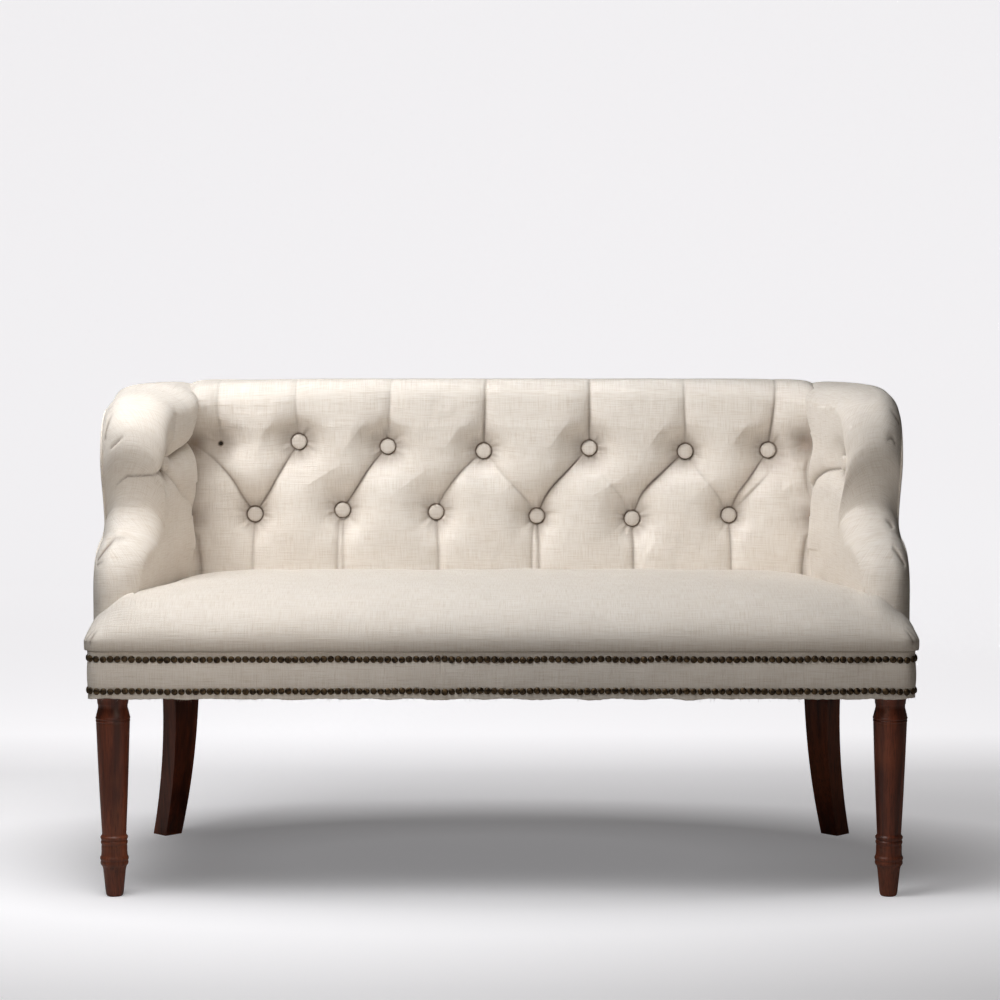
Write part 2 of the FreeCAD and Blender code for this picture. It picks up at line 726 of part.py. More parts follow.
# Seat
def seat_wire(x, crown, shoulder, roll_y, low_y, low_z):
    """One section of the seat from front to back: a crown, then a roll that meets the rail upright."""
    rear_z = seat_back_height - (seat_crown_height - crown)
    rise = shoulder - seat_roll_height
    radius = (seat_shoulder_reach ** 2 + rise ** 2) / (2 * seat_shoulder_reach)
    turn = (math.pi + math.atan2(rise, seat_shoulder_reach - radius)) / 2
    middle = V(x, roll_y + radius + radius * math.cos(turn), seat_roll_height + radius * math.sin(turn))
    rear_low, rear_high = V(x, pleat_y, low_z), V(x, pleat_y, rear_z)
    front_high = V(x, roll_y + seat_shoulder_reach, shoulder)
    points = [rear_low, rear_high]
    points += bend(rear_high, V(x, 0, crown), front_high, arc_steps)
    points += bend(front_high, middle, V(x, roll_y, seat_roll_height), arc_steps)
    return outline(points + [V(x, low_y, low_z)])


def seat_space():
    """The space of the seat: free at the front, then between the wings, up to the foot of the back."""
    y0 = front_face_y + arm_front_setback - soft_gap
    z0 = deck_height - 1
    near_x = wing_inner_x(y0) - soft_gap
    foot = [V(x, pleat_y - inner_shift(x) - back_foot_forward - soft_gap, z0) for x in back_columns()]
    far_x = wing_inner_x(foot[0].y) - soft_gap
    foot[0].x, foot[-1].x = -far_x, far_x
    points = [V(-overall_width, -overall_depth, z0), V(-overall_width, y0, z0), V(-near_x, y0, z0)] + foot
    points += [V(near_x, y0, z0), V(overall_width, y0, z0), V(overall_width, -overall_depth, z0)]
    return prism(points, overall_height)


def seat_pad():
    """The crowned seat, section by section from side to side, fitted between the wings."""
    middle = (overall_width / 2, 0.0, 0.0, 0.0, 0.0, 0.0)

    def section(side, inward, crown_drop, shoulder_drop, roll_back, foot_back, lift):
        return seat_wire(side * (overall_width / 2 - inward), seat_crown_height - crown_drop,
                         seat_shoulder_height - shoulder_drop, roll_back - overall_depth / 2,
                         front_face_y - cover + foot_back, deck_height + lift)

    wires = [section(-1, *station) for station in reversed(seat_stations)]
    wires += [section(1, *station) for station in (middle,) + seat_stations]
    return skin(wires).common(seat_space())


# Webbing, hessian and dust cover
def woven_strap(length, crossings, first_over, ramp):
    """A strap along X that passes over and under flat straps at the given places. Between them it
    runs straight from one to the next, or with a ramp it comes back to their level."""
    t = web_thickness
    reach = web_width / 2 + 1.0
    top = [(0.0, t), (crossings[0] - reach - web_ramp, t)]
    over = first_over
    for place in crossings:
        rise = t if over else -t
        if ramp and place != crossings[0]:
            top.append((place - reach - web_ramp, t))
        top += [(place - reach, t + rise), (place + reach, t + rise)]
        if ramp and place != crossings[-1]:
            top.append((place + reach + web_ramp, t))
        over = not over
    top += [(crossings[-1] + reach + web_ramp, t), (length, t)]
    points = [V(x, -web_width / 2, z) for x, z in top]
    points += [V(x, -web_width / 2, z - t) for x, z in reversed(top)]
    return Part.Face(Part.makePolygon(points + [points[0]])).extrude(V(0, web_width, 0))


def spread(first, last, pitch):
    """Evenly spaced places between two ends, about one pitch apart."""
    count = max(1, round((last - first) / pitch))
    step = (last - first) / count
    return [first + step * (i + 0.5) for i in range(count)]


def seat_webbing():
    x_end = board_x - web_end_gap
    y_front = front_rail_back_y - web_lap
    y_rear = back_rail_front_y + web_lap
    columns = spread(-corner_x, corner_x, seat_web_pitch)
    cross = [box(x - web_width / 2, x + web_width / 2, y_front, y_rear, rail_top, rail_top + web_thickness)
             for x in columns]
    save("seat_webbing_front_to_back", Part.makeCompound(cross))
    straps = []
    over = True
    y_first = leg_y + leg_block / 2
    for y in spread(y_first, corner_y + 20, seat_web_pitch):
        one = woven_strap(2 * x_end, [x + x_end for x in columns], over, False)
        one.translate(V(-x_end, y, rail_top))
        straps.append(one)
        over = not over
    save("seat_webbing_side_to_side", Part.makeCompound(straps))


def seat_hessian():
    z0, z1 = deck_height - hessian_thickness, deck_height
    sheet = plan_solid(-1.0, z0, z1)
    side = box(board_x - fit, frame_x + 1, front_face_y + arm_front_setback, frame_rear_y, z0 - 1, z1 + 1)
    ring = corner_ring(rear_corner_radius - bent_rail_thickness - fit, rear_corner_radius + 5, z0 - 1, z1 + 1)
    post = turned_block(post_width + 2 * fit, post_thickness + 2 * fit, back_post_radius, z0 - 1, z1 + 1)
    rear = box(-frame_x, frame_x, back_frame_y - fit, frame_rear_y + 1, z0 - 1, z1 + 1)
    return sheet.cut([side, mirrored(side), ring, mirrored(ring), post, mirrored(post), rear])


def back_webbing():
    """Upright straps on the back frame, with cross straps passing in front of and behind them."""
    z0, z1 = stay_rail_bottom + 4, top_rail_top - 6
    columns = spread(-corner_x + stile_width, corner_x - stile_width, back_web_pitch)
    y1 = back_frame_y
    y0 = y1 - web_thickness
    save("back_webbing_upright", Part.makeCompound(
        [box(x - web_width / 2, x + web_width / 2, y0, y1, z0, z1) for x in columns]))
    straps = []
    over = True
    low, high = stay_rail_bottom + stay_rail_height, top_rail_bottom
    for z in spread(low, high, (high - low) / back_cross_webs):
        one = woven_strap(2 * corner_x, [x + corner_x for x in columns], over, True)
        one.rotate(ORIGIN, V(1, 0, 0), 90)
        one.translate(V(-corner_x, y1, z))
        straps.append(one)
        over = not over
    save("back_webbing_cross", Part.makeCompound(straps))


def back_hessian():
    return box(-corner_x, corner_x, pad_rear_y, pad_rear_y + hessian_thickness,
               stay_rail_bottom, top_rail_top - 4)


def dust_cover():
    z1 = rail_bottom
    z0 = z1 - dust_cover_thickness
    sheet = plan_solid(-3.0, z0, z1)
    half = leg_block / 2 + 2
    front_hole = box(leg_x - half, leg_x + half, leg_y - half, leg_y + half, z0 - 1, z1 + 1)
    rear_hole = turned_block(rear_leg_width + 2, rear_leg_thickness + 2, post_radius, z0 - 1, z1 + 1)
    return sheet.cut([front_hole, mirrored(front_hole), rear_hole, mirrored(rear_hole)])


# Outside covers
def side_space(z0, z1):
    """The space right of the outside back's seam, behind the front corner's curve."""
    return box(corner_x, overall_width, front_face_y + front_corner_radius + cover, overall_depth, z0, z1)


def rail_band():
    z0 = rail_bottom - dust_cover_thickness
    z1 = deck_height
    ring = band(0, cover, z0, z1)
    side = side_space(z0 - 1, z1 + 1)
    both_sides("rail_cover_side", ring.common(side))
    back = box(-corner_x, corner_x, 0, overall_depth, z0 - 1, z1 + 1)
    save("rail_cover_front", ring.cut([side, mirrored(side), back]))


def outside_covers():
    z0 = rail_bottom - dust_cover_thickness
    save("outside_back", box(-corner_x, corner_x, frame_rear_y, rear_face_y, z0, top_rail_top))
    ring = corner_ring(rear_corner_radius, rear_corner_radius + cover, deck_height, top_rail_top)
    flat = wing_panel(wing_roll, deck_height, frame_x, face_x)
    both_sides("outside_wing", flat.fuse(ring).removeSplitter())


def nail_trim():
    for name, height in (("nail_trim_upper", upper_nail_height), ("nail_trim_lower", lower_nail_height)):
        ring = band(cover, cover + nail_dome, height - nail_width / 2, height + nail_width / 2)
        back = box(-corner_x, corner_x, 0, overall_depth, height - nail_width, height + nail_width)
        save(name, ring.cut(back))


def main():
    os.makedirs("parts", exist_ok=True)
    seat_rails()
    braces()
    both_sides("front_leg", front_leg())
    both_sides("rear_leg", rear_leg())
    back_frame()
    both_sides("wing_board", wing_panel(wing_roll, rail_top, board_x, frame_x))
    both_sides("arm_rail", arm_rail())
    seat_webbing()
    save("seat_hessian", seat_hessian())
    back_webbing()
    save("back_hessian", back_hessian())
    save("dust_cover", dust_cover())
    save("seat", seat_pad())
    save("inside_back", carved(back_pad()))
    pad = wing_pad()
    save("inside_wing_right", carved(pad))
    save("inside_wing_left", carved(mirrored(pad)))
    lower, upper = pocket_seats()
    save("buttons_lower", Part.makeCompound([button(spot, way) for spot, way in lower]))
    save("buttons_upper", Part.makeCompound([button(spot, way) for spot, way in upper]))
    rail_band()
    outside_covers()
    nail_trim()


main()
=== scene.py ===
# %% [markdown]
# # A deep-buttoned settee
#
# A two-seat settee with a buttoned back that wraps round into two wings. The wings sweep down into
# arms, the seat is one tight crowned pad, and two rows of dark nails run round the rails. This lesson
# rebuilds its looks in Blender over a measured frame: each soft piece is a surface worked out with
# numpy, so a pleat is a line in a formula and can be moved, deepened or softened by one number.

# %% Load the frame
import bpy
import json
import math
import numpy as np
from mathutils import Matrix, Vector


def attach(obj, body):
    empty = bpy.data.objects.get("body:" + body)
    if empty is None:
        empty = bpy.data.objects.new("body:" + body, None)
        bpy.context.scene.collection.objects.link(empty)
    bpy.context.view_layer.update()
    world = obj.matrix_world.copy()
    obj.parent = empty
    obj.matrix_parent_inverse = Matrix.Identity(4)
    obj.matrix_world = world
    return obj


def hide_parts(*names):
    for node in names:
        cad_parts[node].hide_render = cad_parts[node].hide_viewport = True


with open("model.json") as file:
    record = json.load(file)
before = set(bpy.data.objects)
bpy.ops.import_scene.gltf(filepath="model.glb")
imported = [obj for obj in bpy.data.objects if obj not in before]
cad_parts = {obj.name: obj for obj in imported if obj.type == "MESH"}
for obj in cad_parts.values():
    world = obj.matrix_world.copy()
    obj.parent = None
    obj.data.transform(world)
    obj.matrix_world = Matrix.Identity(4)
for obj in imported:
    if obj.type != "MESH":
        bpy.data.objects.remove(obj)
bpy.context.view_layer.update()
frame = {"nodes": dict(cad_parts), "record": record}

# %% [markdown]
# ## Tools that every piece shares
#
# All shapes are worked out in millimetres, because an upholsterer's sizes read well that way, and are
# turned into metres when they become a mesh. A grid of points is turned into four-cornered faces, and
# each piece can carry its own flat cloth map, in metres, so that the weave runs the way the cloth was
# cut and keeps one scale on every piece. The other way would be to unwrap each mesh by hand.

# %% Shared tools
MM = 0.001


def ease(value, low, high):
    """A smooth step: 3 t^2 - 2 t^3, where t goes from 0 at low to 1 at high."""
    t = np.clip((value - low) / (high - low), 0.0, 1.0)
    return t * t * (3.0 - 2.0 * t)


def ripples(u, v, length, seed, count=12):
    """Gentle unevenness: a sum of sine waves of about one length that run in all directions."""
    rng = np.random.default_rng(seed)
    total = np.zeros(np.broadcast(u, v).shape)
    for _ in range(count):
        angle, phase = rng.uniform(0, 2 * np.pi, 2)
        pace = 2 * np.pi / (length * rng.uniform(0.7, 1.6))
        total += np.sin(pace * (u * np.cos(angle) + v * np.sin(angle)) + phase)
    return total / np.sqrt(count)


def grid_faces(rows, columns, around=False, first=0, flip=False):
    """The corners of every cell of a grid whose points are numbered row by row from `first`."""
    row = np.arange(rows - 1)[:, None] * columns
    here = np.arange(columns if around else columns - 1)[None, :]
    there = (here + 1) % columns
    cells = np.stack([row + here, row + there, row + columns + there, row + columns + here], -1)
    cells = cells.reshape(-1, 4) + first
    return cells[:, ::-1] if flip else cells


def fan_faces(ring, centre, flip=False):
    """Triangles that close a ring of point numbers at one centre point."""
    fans = np.stack([ring, np.roll(ring, -1), np.full(len(ring), centre)], -1)
    return fans[:, ::-1] if flip else fans


def ring_faces(rows, count, flip=False, first=0):
    """Faces of a pile of rings whose first and last ring are each closed by a fan to a middle point. The
    two middle points are numbered after the rings."""
    ring = np.arange(count) + first
    middles = first + rows * count
    return [grid_faces(rows, count, True, first, flip), fan_faces(ring, middles, not flip),
            fan_faces(ring + (rows - 1) * count, middles + 1, flip)]


def closed_tube(loop, flip=False):
    """Points and faces of a tube whose closed section is each column of a grid of points: the grid, the
    strip from its last row to its first, and a fan about a middle point at each end."""
    rows, columns = loop.shape[:2]
    points = loop.reshape(-1, 3)
    left = np.arange(rows) * columns
    right = left + columns - 1
    points = np.vstack([points, points[left].mean(0), points[right].mean(0)])
    here, there, last = np.arange(columns - 1), np.arange(1, columns), (rows - 1) * columns
    strip = np.stack([here, there, there + last, here + last], -1)
    return points, [grid_faces(rows, columns, flip=flip), strip if flip else strip[:, ::-1],
                    fan_faces(left, rows * columns, not flip), fan_faces(right, rows * columns + 1, flip)]


def add_piece(name, points, faces, material, cloth=None, replaces=(), marks=None):
    """A mesh from points in millimetres. cloth is each point's place on the flat cloth, and marks is a
    number at each point that the linen reads as painted shade: 0 on the open cloth, 1 in a pleat, 4 in a
    hole."""
    mesh = bpy.data.meshes.new(name)
    corners = [list(map(int, face)) for group in faces for face in group.tolist()]
    mesh.from_pydata((points * MM).tolist(), [], corners)
    if cloth is not None:
        layer = mesh.uv_layers.new(name="cloth")
        index = np.empty(len(mesh.loops), np.int32)
        mesh.loops.foreach_get("vertex_index", index)
        layer.data.foreach_set("uv", (cloth * MM)[index].astype(np.float32).ravel())
    if marks is not None:
        # Painted shade: a point attribute that the linen turns into dark brown in pleats and near black in a
        # hole.
        layer = mesh.attributes.new("painted_shade", "FLOAT", "POINT")
        layer.data.foreach_set("value", marks.astype(np.float32).ravel())
    mesh.shade_smooth()
    piece = bpy.data.objects.new(name, mesh)
    bpy.context.scene.collection.objects.link(piece)
    mesh.materials.append(material)
    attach(piece, "root")
    if replaces:
        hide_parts(*replaces)
    print(f"{name}: {len(points)} points, {len(corners)} faces")
    return piece


def smooth_line(points, step):
    """A smooth curve through points (Catmull-Rom: each span is a cubic whose end slopes are half the
    chord between the two neighbours), read again at an even step along its length."""
    p = np.vstack([2 * points[0] - points[1], points, 2 * points[-1] - points[-2]])
    t = np.linspace(0, 1, 40, endpoint=False)[None, :, None]
    a, b, c, d = (p[i:len(p) - 3 + i, None, :] for i in range(4))
    curve = 0.5 * (2 * b + (c - a) * t + (2 * a - 5 * b + 4 * c - d) * t ** 2
                   + (3 * b - 3 * c + d - a) * t ** 3)
    return even_line(np.vstack([curve.reshape(-1, points.shape[1]), points[-1:]]), step)


def even_line(points, step):
    """The same line with points at an even step along its length."""
    run = np.r_[0, np.cumsum(np.linalg.norm(np.diff(points, axis=0), axis=1))]
    spots = np.linspace(0, run[-1], max(2, int(round(run[-1] / step)) + 1))
    return np.stack([np.interp(spots, run, points[:, i]) for i in range(points.shape[1])], -1)


print("shared tools are ready")

# %% [markdown]
# ## The linen
#
# The cover is a pale oatmeal linen. Close to, it has a plain weave, and what shows from a step away are
# its slubs: places where a yarn is thicker, as short darker or lighter streaks along the warp and the
# weft. Each direction of slubs is one noise that is stretched a great deal along the yarn, read from the
# cloth map, and the plain weave is two crossed waves in the bump. Shade is painted into the colour: a
# dark warm brown in the pleats' valleys and creases, the moats round the buttons, the corners' pockets
# and the seat's darts, and near black in the hole that a lost button left, for the shade of a pit.

# %% Node helpers
def new_material(name, roughness, specular=0.5):
    """An empty Principled material: (material, node tree, shader)."""
    material = bpy.data.materials.new(name)
    material.use_nodes = True
    tree = material.node_tree
    shader = tree.nodes["Principled BSDF"]
    shader.inputs["Roughness"].default_value = roughness
    shader.inputs["Specular IOR Level"].default_value = specular
    return material, tree, shader


def put(tree, kind, values=None, **settings):
    """A node with its settings and its unlinked input values."""
    node = tree.nodes.new(kind)
    for key, value in settings.items():
        setattr(node, key, value)
    for key, value in (values or {}).items():
        node.inputs[key].default_value = value
    return node


def stretched_noise(tree, source, scale, detail, seed=0.0, rough=0.55):
    """Noise that is read from a stretched copy of the source coordinates. Returns its value socket."""
    mapping = put(tree, "ShaderNodeMapping", {"Scale": scale, "Location": (seed, seed * 0.7, 0)})
    tree.links.new(source, mapping.inputs["Vector"])
    noise = put(tree, "ShaderNodeTexNoise", {"Scale": 1.0, "Detail": detail, "Roughness": rough})
    tree.links.new(mapping.outputs["Vector"], noise.inputs["Vector"])
    return noise.outputs["Fac"]


def ranged(tree, value, low, high, to_low=0.0, to_high=1.0):
    """The value carried from one range to another, and held inside it."""
    node = put(tree, "ShaderNodeMapRange", {"From Min": low, "From Max": high,
                                            "To Min": to_low, "To Max": to_high})
    tree.links.new(value, node.inputs["Value"])
    return node.outputs["Result"]


def math_of(tree, operation, a, b):
    """One Math node over two sockets or numbers."""
    node = put(tree, "ShaderNodeMath", operation=operation)
    for i, term in enumerate((a, b)):
        if isinstance(term, (int, float)):
            node.inputs[i].default_value = term
        else:
            tree.links.new(term, node.inputs[i])
    return node.outputs[0]


def blended(tree, amount, a, b):
    """Two colours mixed by a socket or number. Each may be a colour or a socket."""
    node = put(tree, "ShaderNodeMix", data_type="RGBA")
    for socket, term in ((node.inputs["Factor"], amount), (node.inputs[6], a), (node.inputs[7], b)):
        if isinstance(term, (int, float, tuple)):
            socket.default_value = term
        else:
            tree.links.new(term, socket)
    return node.outputs[2]


def raise_bump(tree, shader, height, distance, strength=1.0):
    """A bump of that height in metres on the shader."""
    bump = put(tree, "ShaderNodeBump", {"Distance": distance, "Strength": strength})
    tree.links.new(height, bump.inputs["Height"])
    tree.links.new(bump.outputs["Normal"], shader.inputs["Normal"])


# %% Linen
LINEN = (0.77, 0.71, 0.64, 1)
LINEN_LIGHT = (0.83, 0.785, 0.73, 1)
LINEN_DARK = (0.62, 0.54, 0.455, 1)
# Painted shade colours: dark warm brown for pleats, creases and pockets, near black for the lost button's
# hole.
PAINTED_PLEAT_SHADE = (0.13, 0.075, 0.04, 1)
PAINTED_HOLE_SHADE = (0.012, 0.008, 0.006, 1)
YARN = 900.0                      # yarns in a metre


def linen_material(name):
    """Slub along the weft + slub along the warp shift the colour between a light and a dark yarn, and the
    piece's painted shade attribute darkens it. Bump = crossed sines of the weave + both slubs."""
    material, tree, shader = new_material(name, 0.92, 0.25)
    shader.inputs["Sheen Weight"].default_value = 0.12
    shader.inputs["Sheen Roughness"].default_value = 0.5
    source = put(tree, "ShaderNodeTexCoord").outputs["UV"]
    weft = stretched_noise(tree, source, (28, 900, 1), 2.0)
    warp = stretched_noise(tree, source, (900, 34, 1), 2.0, 5.0)
    thick_weft = ranged(tree, stretched_noise(tree, source, (16, 420, 1), 1.0, 9.0), 0.56, 0.74)
    thick_warp = ranged(tree, stretched_noise(tree, source, (420, 20, 1), 1.0, 13.0), 0.58, 0.76)
    cloudy = stretched_noise(tree, source, (9, 9, 9), 2.0, 3.0)
    yarns = math_of(tree, "ADD", weft, warp)
    light = ranged(tree, yarns, 0.86, 1.2)
    colour = blended(tree, light, LINEN, LINEN_LIGHT)
    dark = ranged(tree, yarns, 0.94, 0.66)
    colour = blended(tree, math_of(tree, "MULTIPLY", dark, 0.6), colour, LINEN_DARK)
    slubs = math_of(tree, "MAXIMUM", thick_weft, thick_warp)
    colour = blended(tree, math_of(tree, "MULTIPLY", slubs, 0.3), colour, LINEN_DARK)
    colour = blended(tree, ranged(tree, cloudy, 0.35, 0.7, 0.0, 0.12), colour, LINEN_DARK)
    # Painted shade: from 0 to 1 the colour goes to a dark warm brown in pleats, creases and pockets, and from
    # 1.6 to 3 to near black in the lost button's hole.
    painted_shade = put(tree, "ShaderNodeAttribute", attribute_name="painted_shade").outputs["Fac"]
    colour = blended(tree, ranged(tree, painted_shade, 0.0, 1.0, 0.0, 0.8), colour, PAINTED_PLEAT_SHADE)
    colour = blended(tree, ranged(tree, painted_shade, 1.6, 3.0, 0.0, 0.95), colour, PAINTED_HOLE_SHADE)
    tree.links.new(colour, shader.inputs["Base Color"])
    across = put(tree, "ShaderNodeSeparateXYZ")
    tree.links.new(source, across.inputs[0])
    waves = [math_of(tree, "SINE", math_of(tree, "MULTIPLY", across.outputs[i], 2 * math.pi * YARN), 0)
             for i in (0, 1)]
    weave = math_of(tree, "MULTIPLY", math_of(tree, "MULTIPLY", waves[0], waves[1]), 0.25)
    height = math_of(tree, "ADD", math_of(tree, "ADD", weave, yarns), slubs)
    raise_bump(tree, shader, height, 0.00035, 0.8)
    return material


linen = linen_material("oatmeal_linen")
print("linen made, about", YARN / 10, "yarns in 100 mm")

# %% [markdown]
# ## Wood, nails and the hidden cloths
#
# The legs are mahogany under a dark red-brown polish that is rubbed thin on the edges. Wood grain runs
# along the leg, so its noise is stretched along Z. The rails inside are plain beech. The nails are brass
# that was browned, so only their crowns still shine. Jute and hessian are open weaves: crossed waves
# shade their colour. The cloth under the seat is black cotton.

# %% Wood
MAHOGANY = [(0.060, 0.013, 0.006, 1), (0.23, 0.055, 0.023, 1), (0.42, 0.12, 0.048, 1)]
BEECH = [(0.42, 0.28, 0.16, 1), (0.56, 0.40, 0.25, 1), (0.64, 0.47, 0.31, 1)]
ALONG_Z, ALONG_X = (60, 60, 3.2), (3.2, 60, 60)


def wood_material(name, colours, roughness, grain, gloss=0.0):
    """Grain = long stretched noise, with finer pores along it. The colours go from the darkest to the
    lightest, and gloss is the share of clear polish over them."""
    dark, mid, light = colours
    material, tree, shader = new_material(name, roughness, 0.5)
    source = put(tree, "ShaderNodeTexCoord").outputs["Object"]
    bands = stretched_noise(tree, source, grain, 4.0, 2.0, 0.6)
    pores = stretched_noise(tree, source, tuple(g * 9 for g in grain), 3.0, 6.0, 0.7)
    clouds = stretched_noise(tree, source, (7, 7, 5), 2.0, 4.0)
    colour = blended(tree, ranged(tree, bands, 0.36, 0.64), dark, mid)
    colour = blended(tree, ranged(tree, clouds, 0.45, 0.75, 0.0, 0.6), colour, light)
    colour = blended(tree, ranged(tree, pores, 0.5, 0.66, 0.0, 0.7), colour, dark)
    tree.links.new(colour, shader.inputs["Base Color"])
    rubbed = ranged(tree, clouds, 0.3, 0.7, roughness - 0.08, roughness + 0.1)
    tree.links.new(rubbed, shader.inputs["Roughness"])
    shader.inputs["Coat Weight"].default_value = gloss
    shader.inputs["Coat Roughness"].default_value = 0.22
    raise_bump(tree, shader, math_of(tree, "ADD", pores, math_of(tree, "MULTIPLY", bands, 0.5)), 0.0003)
    return material


mahogany = wood_material("polished_mahogany", MAHOGANY, 0.42, ALONG_Z, gloss=0.04)
beech = wood_material("raw_beech", BEECH, 0.7, ALONG_X)
print("woods made")


# %% Nails, jute, hessian and the black cloth
STAINED, RUBBED, DULL = (0.030, 0.021, 0.014, 1), (0.17, 0.115, 0.06, 1), (0.045, 0.033, 0.024, 1)


def nail_material():
    """Browned brass: one fine noise stains each nail in part, and a coarse one dulls some whole nails."""
    material, tree, shader = new_material("browned_brass", 0.42, 0.5)
    shader.inputs["Metallic"].default_value = 0.85
    source = put(tree, "ShaderNodeTexCoord").outputs["Object"]
    stain = stretched_noise(tree, source, (210, 210, 210), 3.0)
    each = stretched_noise(tree, source, (60, 60, 60), 0.0, 8.0)
    colour = blended(tree, ranged(tree, stain, 0.4, 0.62), STAINED, RUBBED)
    colour = blended(tree, ranged(tree, each, 0.35, 0.65, 0.0, 0.5), colour, DULL)
    tree.links.new(colour, shader.inputs["Base Color"])
    tree.links.new(ranged(tree, stain, 0.3, 0.7, 0.3, 0.6), shader.inputs["Roughness"])
    return material


def coarse_cloth(name, light, dark, yarns, roughness=0.95):
    """An open weave: the product of two crossed sine waves shades the colour and raises the bump."""
    material, tree, shader = new_material(name, roughness, 0.2)
    source = put(tree, "ShaderNodeTexCoord").outputs["Object"]
    across = put(tree, "ShaderNodeSeparateXYZ")
    tree.links.new(source, across.inputs[0])
    up = math_of(tree, "ADD", across.outputs[1], across.outputs[2])
    waves = [math_of(tree, "SINE", math_of(tree, "MULTIPLY", axis, 2 * math.pi * yarns), 0)
             for axis in (across.outputs[0], up)]
    weave = math_of(tree, "MULTIPLY", waves[0], waves[1])
    uneven = stretched_noise(tree, source, (40, 40, 40), 3.0)
    colour = blended(tree, ranged(tree, math_of(tree, "ADD", weave, uneven), -0.4, 1.2), dark, light)
    tree.links.new(colour, shader.inputs["Base Color"])
    raise_bump(tree, shader, weave, 0.0006)
    return material


browned_brass = nail_material()
jute = coarse_cloth("jute_webbing", (0.50, 0.39, 0.25, 1), (0.27, 0.19, 0.11, 1), 300)
hessian = coarse_cloth("open_hessian", (0.55, 0.44, 0.29, 1), (0.26, 0.19, 0.11, 1), 450)
black_cloth = coarse_cloth("black_cotton", (0.03, 0.03, 0.034, 1), (0.012, 0.012, 0.014, 1), 700)
print("nails and hidden cloths made")

# %% [markdown]
# ## Where the settee's surfaces lie
#
# Two measured lines place everything soft. In plan, the inside of the back is a shallow bow that curves
# forward into the corners, and the inside of each wing flares outward to the front. From the side, the
# wing sweeps down into the arm. Both are written once here, in the frame's own millimetres, with the
# floor at Z = 0 and the front facing -Y.

# %% Measured lines
CORNER_X, CORNER_Y, CORNER_R = 454.0, 111.5, 200.0   # centre and radius of the rounded rear corner
FACE_X = CORNER_X + CORNER_R
DECK = 397.0                                         # the rails' top, where back and wings begin
TOP_EDGE, CAP_WIDE, CAP_HIGH = 779.0, 52.0, 24.0     # the corner's rounded top
BOW_END, BOW_DEPTH, BOW_SLOPE = 430.0, 20.0, 0.093   # the back's bow: last button, depth, slope there
BOW_TURN = 150.0                                     # radius of its turn into the corner
WING_FRONT_Y, WING_FRONT_X = -246.0, 597.0           # the wing's pleats at the arm's front
FLARE, TURN_IN = 45.0 / 423.0, 15.0
WING_FULL = {-1: 14.0, 1: 4.0}                       # how much fuller each wing is above its arm
SEAM_DEEP = {-1: 6.0, 1: 3.5}                        # how deep the pleat over each corner is


def forward_bow(x):
    """How far the back's pleats come forward: a parabola to the last button, then a circle that leaves
    it at the same slope."""
    beyond = np.clip(np.abs(x) - BOW_END, 0.0, BOW_TURN - 10.0)
    bow = BOW_DEPTH * (np.minimum(np.abs(x), BOW_END) / BOW_END) ** 2
    return bow + BOW_SLOPE * beyond + BOW_TURN - np.sqrt(BOW_TURN ** 2 - beyond ** 2)


def rear_drop(x, radius):
    """How far the rear comes forward in the rounded corner: R - sqrt(R^2 - d^2) past the corner's centre."""
    beyond = np.clip(np.abs(x) - CORNER_X, 0.0, radius - 1.0)
    return radius - np.sqrt(radius ** 2 - beyond ** 2)


def wing_inside(y, z=676.0, side=-1):
    """|x| of the wing's pleats: a straight flare, a turn where it meets the back, and a fuller wing
    above the arm, most of all on the left."""
    full = WING_FULL[side] * ease(z, 560.0, 650.0) * (1 - ease(y, 60.0, 170.0))
    return WING_FRONT_X - FLARE * (y - WING_FRONT_Y) - TURN_IN * ease(y, 40.0, 175.0) - full


def wing_outside(y):
    """|x| of the wing's outside: straight, then round the rear corner's circle."""
    beyond = np.clip(y - CORNER_Y, 0.0, CORNER_R - 1.0)
    return CORNER_X + np.sqrt(CORNER_R ** 2 - beyond ** 2)


def corner_seam(y):
    """|x| of the pleat over the top of the corner, where the wing's cloth meets the back's."""
    return np.interp(y, [172, 195, 262, 292], [534, 531, 548, 560])


def seam_groove(past, deep, width):
    """How far the corner's pleat pulls the cloth down: exp(-distance / width) on its own side, and on
    the other side a slope that sinks under the cloth it meets."""
    return deep * np.exp(-np.abs(past) / width) * (past < 0) + (deep + 0.8 * past) * (past >= 0)


def corner_reach(x, y):
    """How far outwards and to the rear of the rounded corner's centre a point is, as one distance."""
    return np.hypot(np.maximum(np.abs(x) - CORNER_X, 0), np.maximum(y - CORNER_Y, 0))


def corner_cap(x, y):
    """The highest Z that the rounded corner allows: a quarter ellipse at its outer edge."""
    edge = np.clip((corner_reach(x, y) - (CORNER_R - CAP_WIDE)) / CAP_WIDE, 0, 1)
    return TOP_EDGE + CAP_HIGH * np.sqrt(1 - edge ** 2)


def over_rail(x, y):
    """0 to 1 over the outer part of the corner's top rail, where the stuffing must not run thin."""
    return ease(corner_reach(x, y), 158, 188)


def lower_of(a, b, blend=6.0):
    """A smooth minimum: -k log(exp(-a / k) + exp(-b / k))."""
    low = np.minimum(a, b)
    return low - blend * np.log1p(np.exp(-np.abs(a - b) / blend))


print("the back bows", round(float(forward_bow(BOW_END)), 1), "mm by the last button")

# %% [markdown]
# ## How buttoning shapes a surface
#
# Deep buttoning pulls the cover down to the back frame at each button, and the spare cloth is folded
# into pleats from button to button. Cloth simulation can find such folds, but not the ones of this
# settee, where the maker laid most of them one way. So the fullness is a product: far from every pleat
# it is 1, and each pleat multiplies it by 1 - depth * exp(-distance / width), which has a sharp valley
# and round shoulders. The side above a pleat is steeper, because the upper cloth is folded over the
# lower one. A soft valley uses exp(-(distance / width)^2) and has no crease.

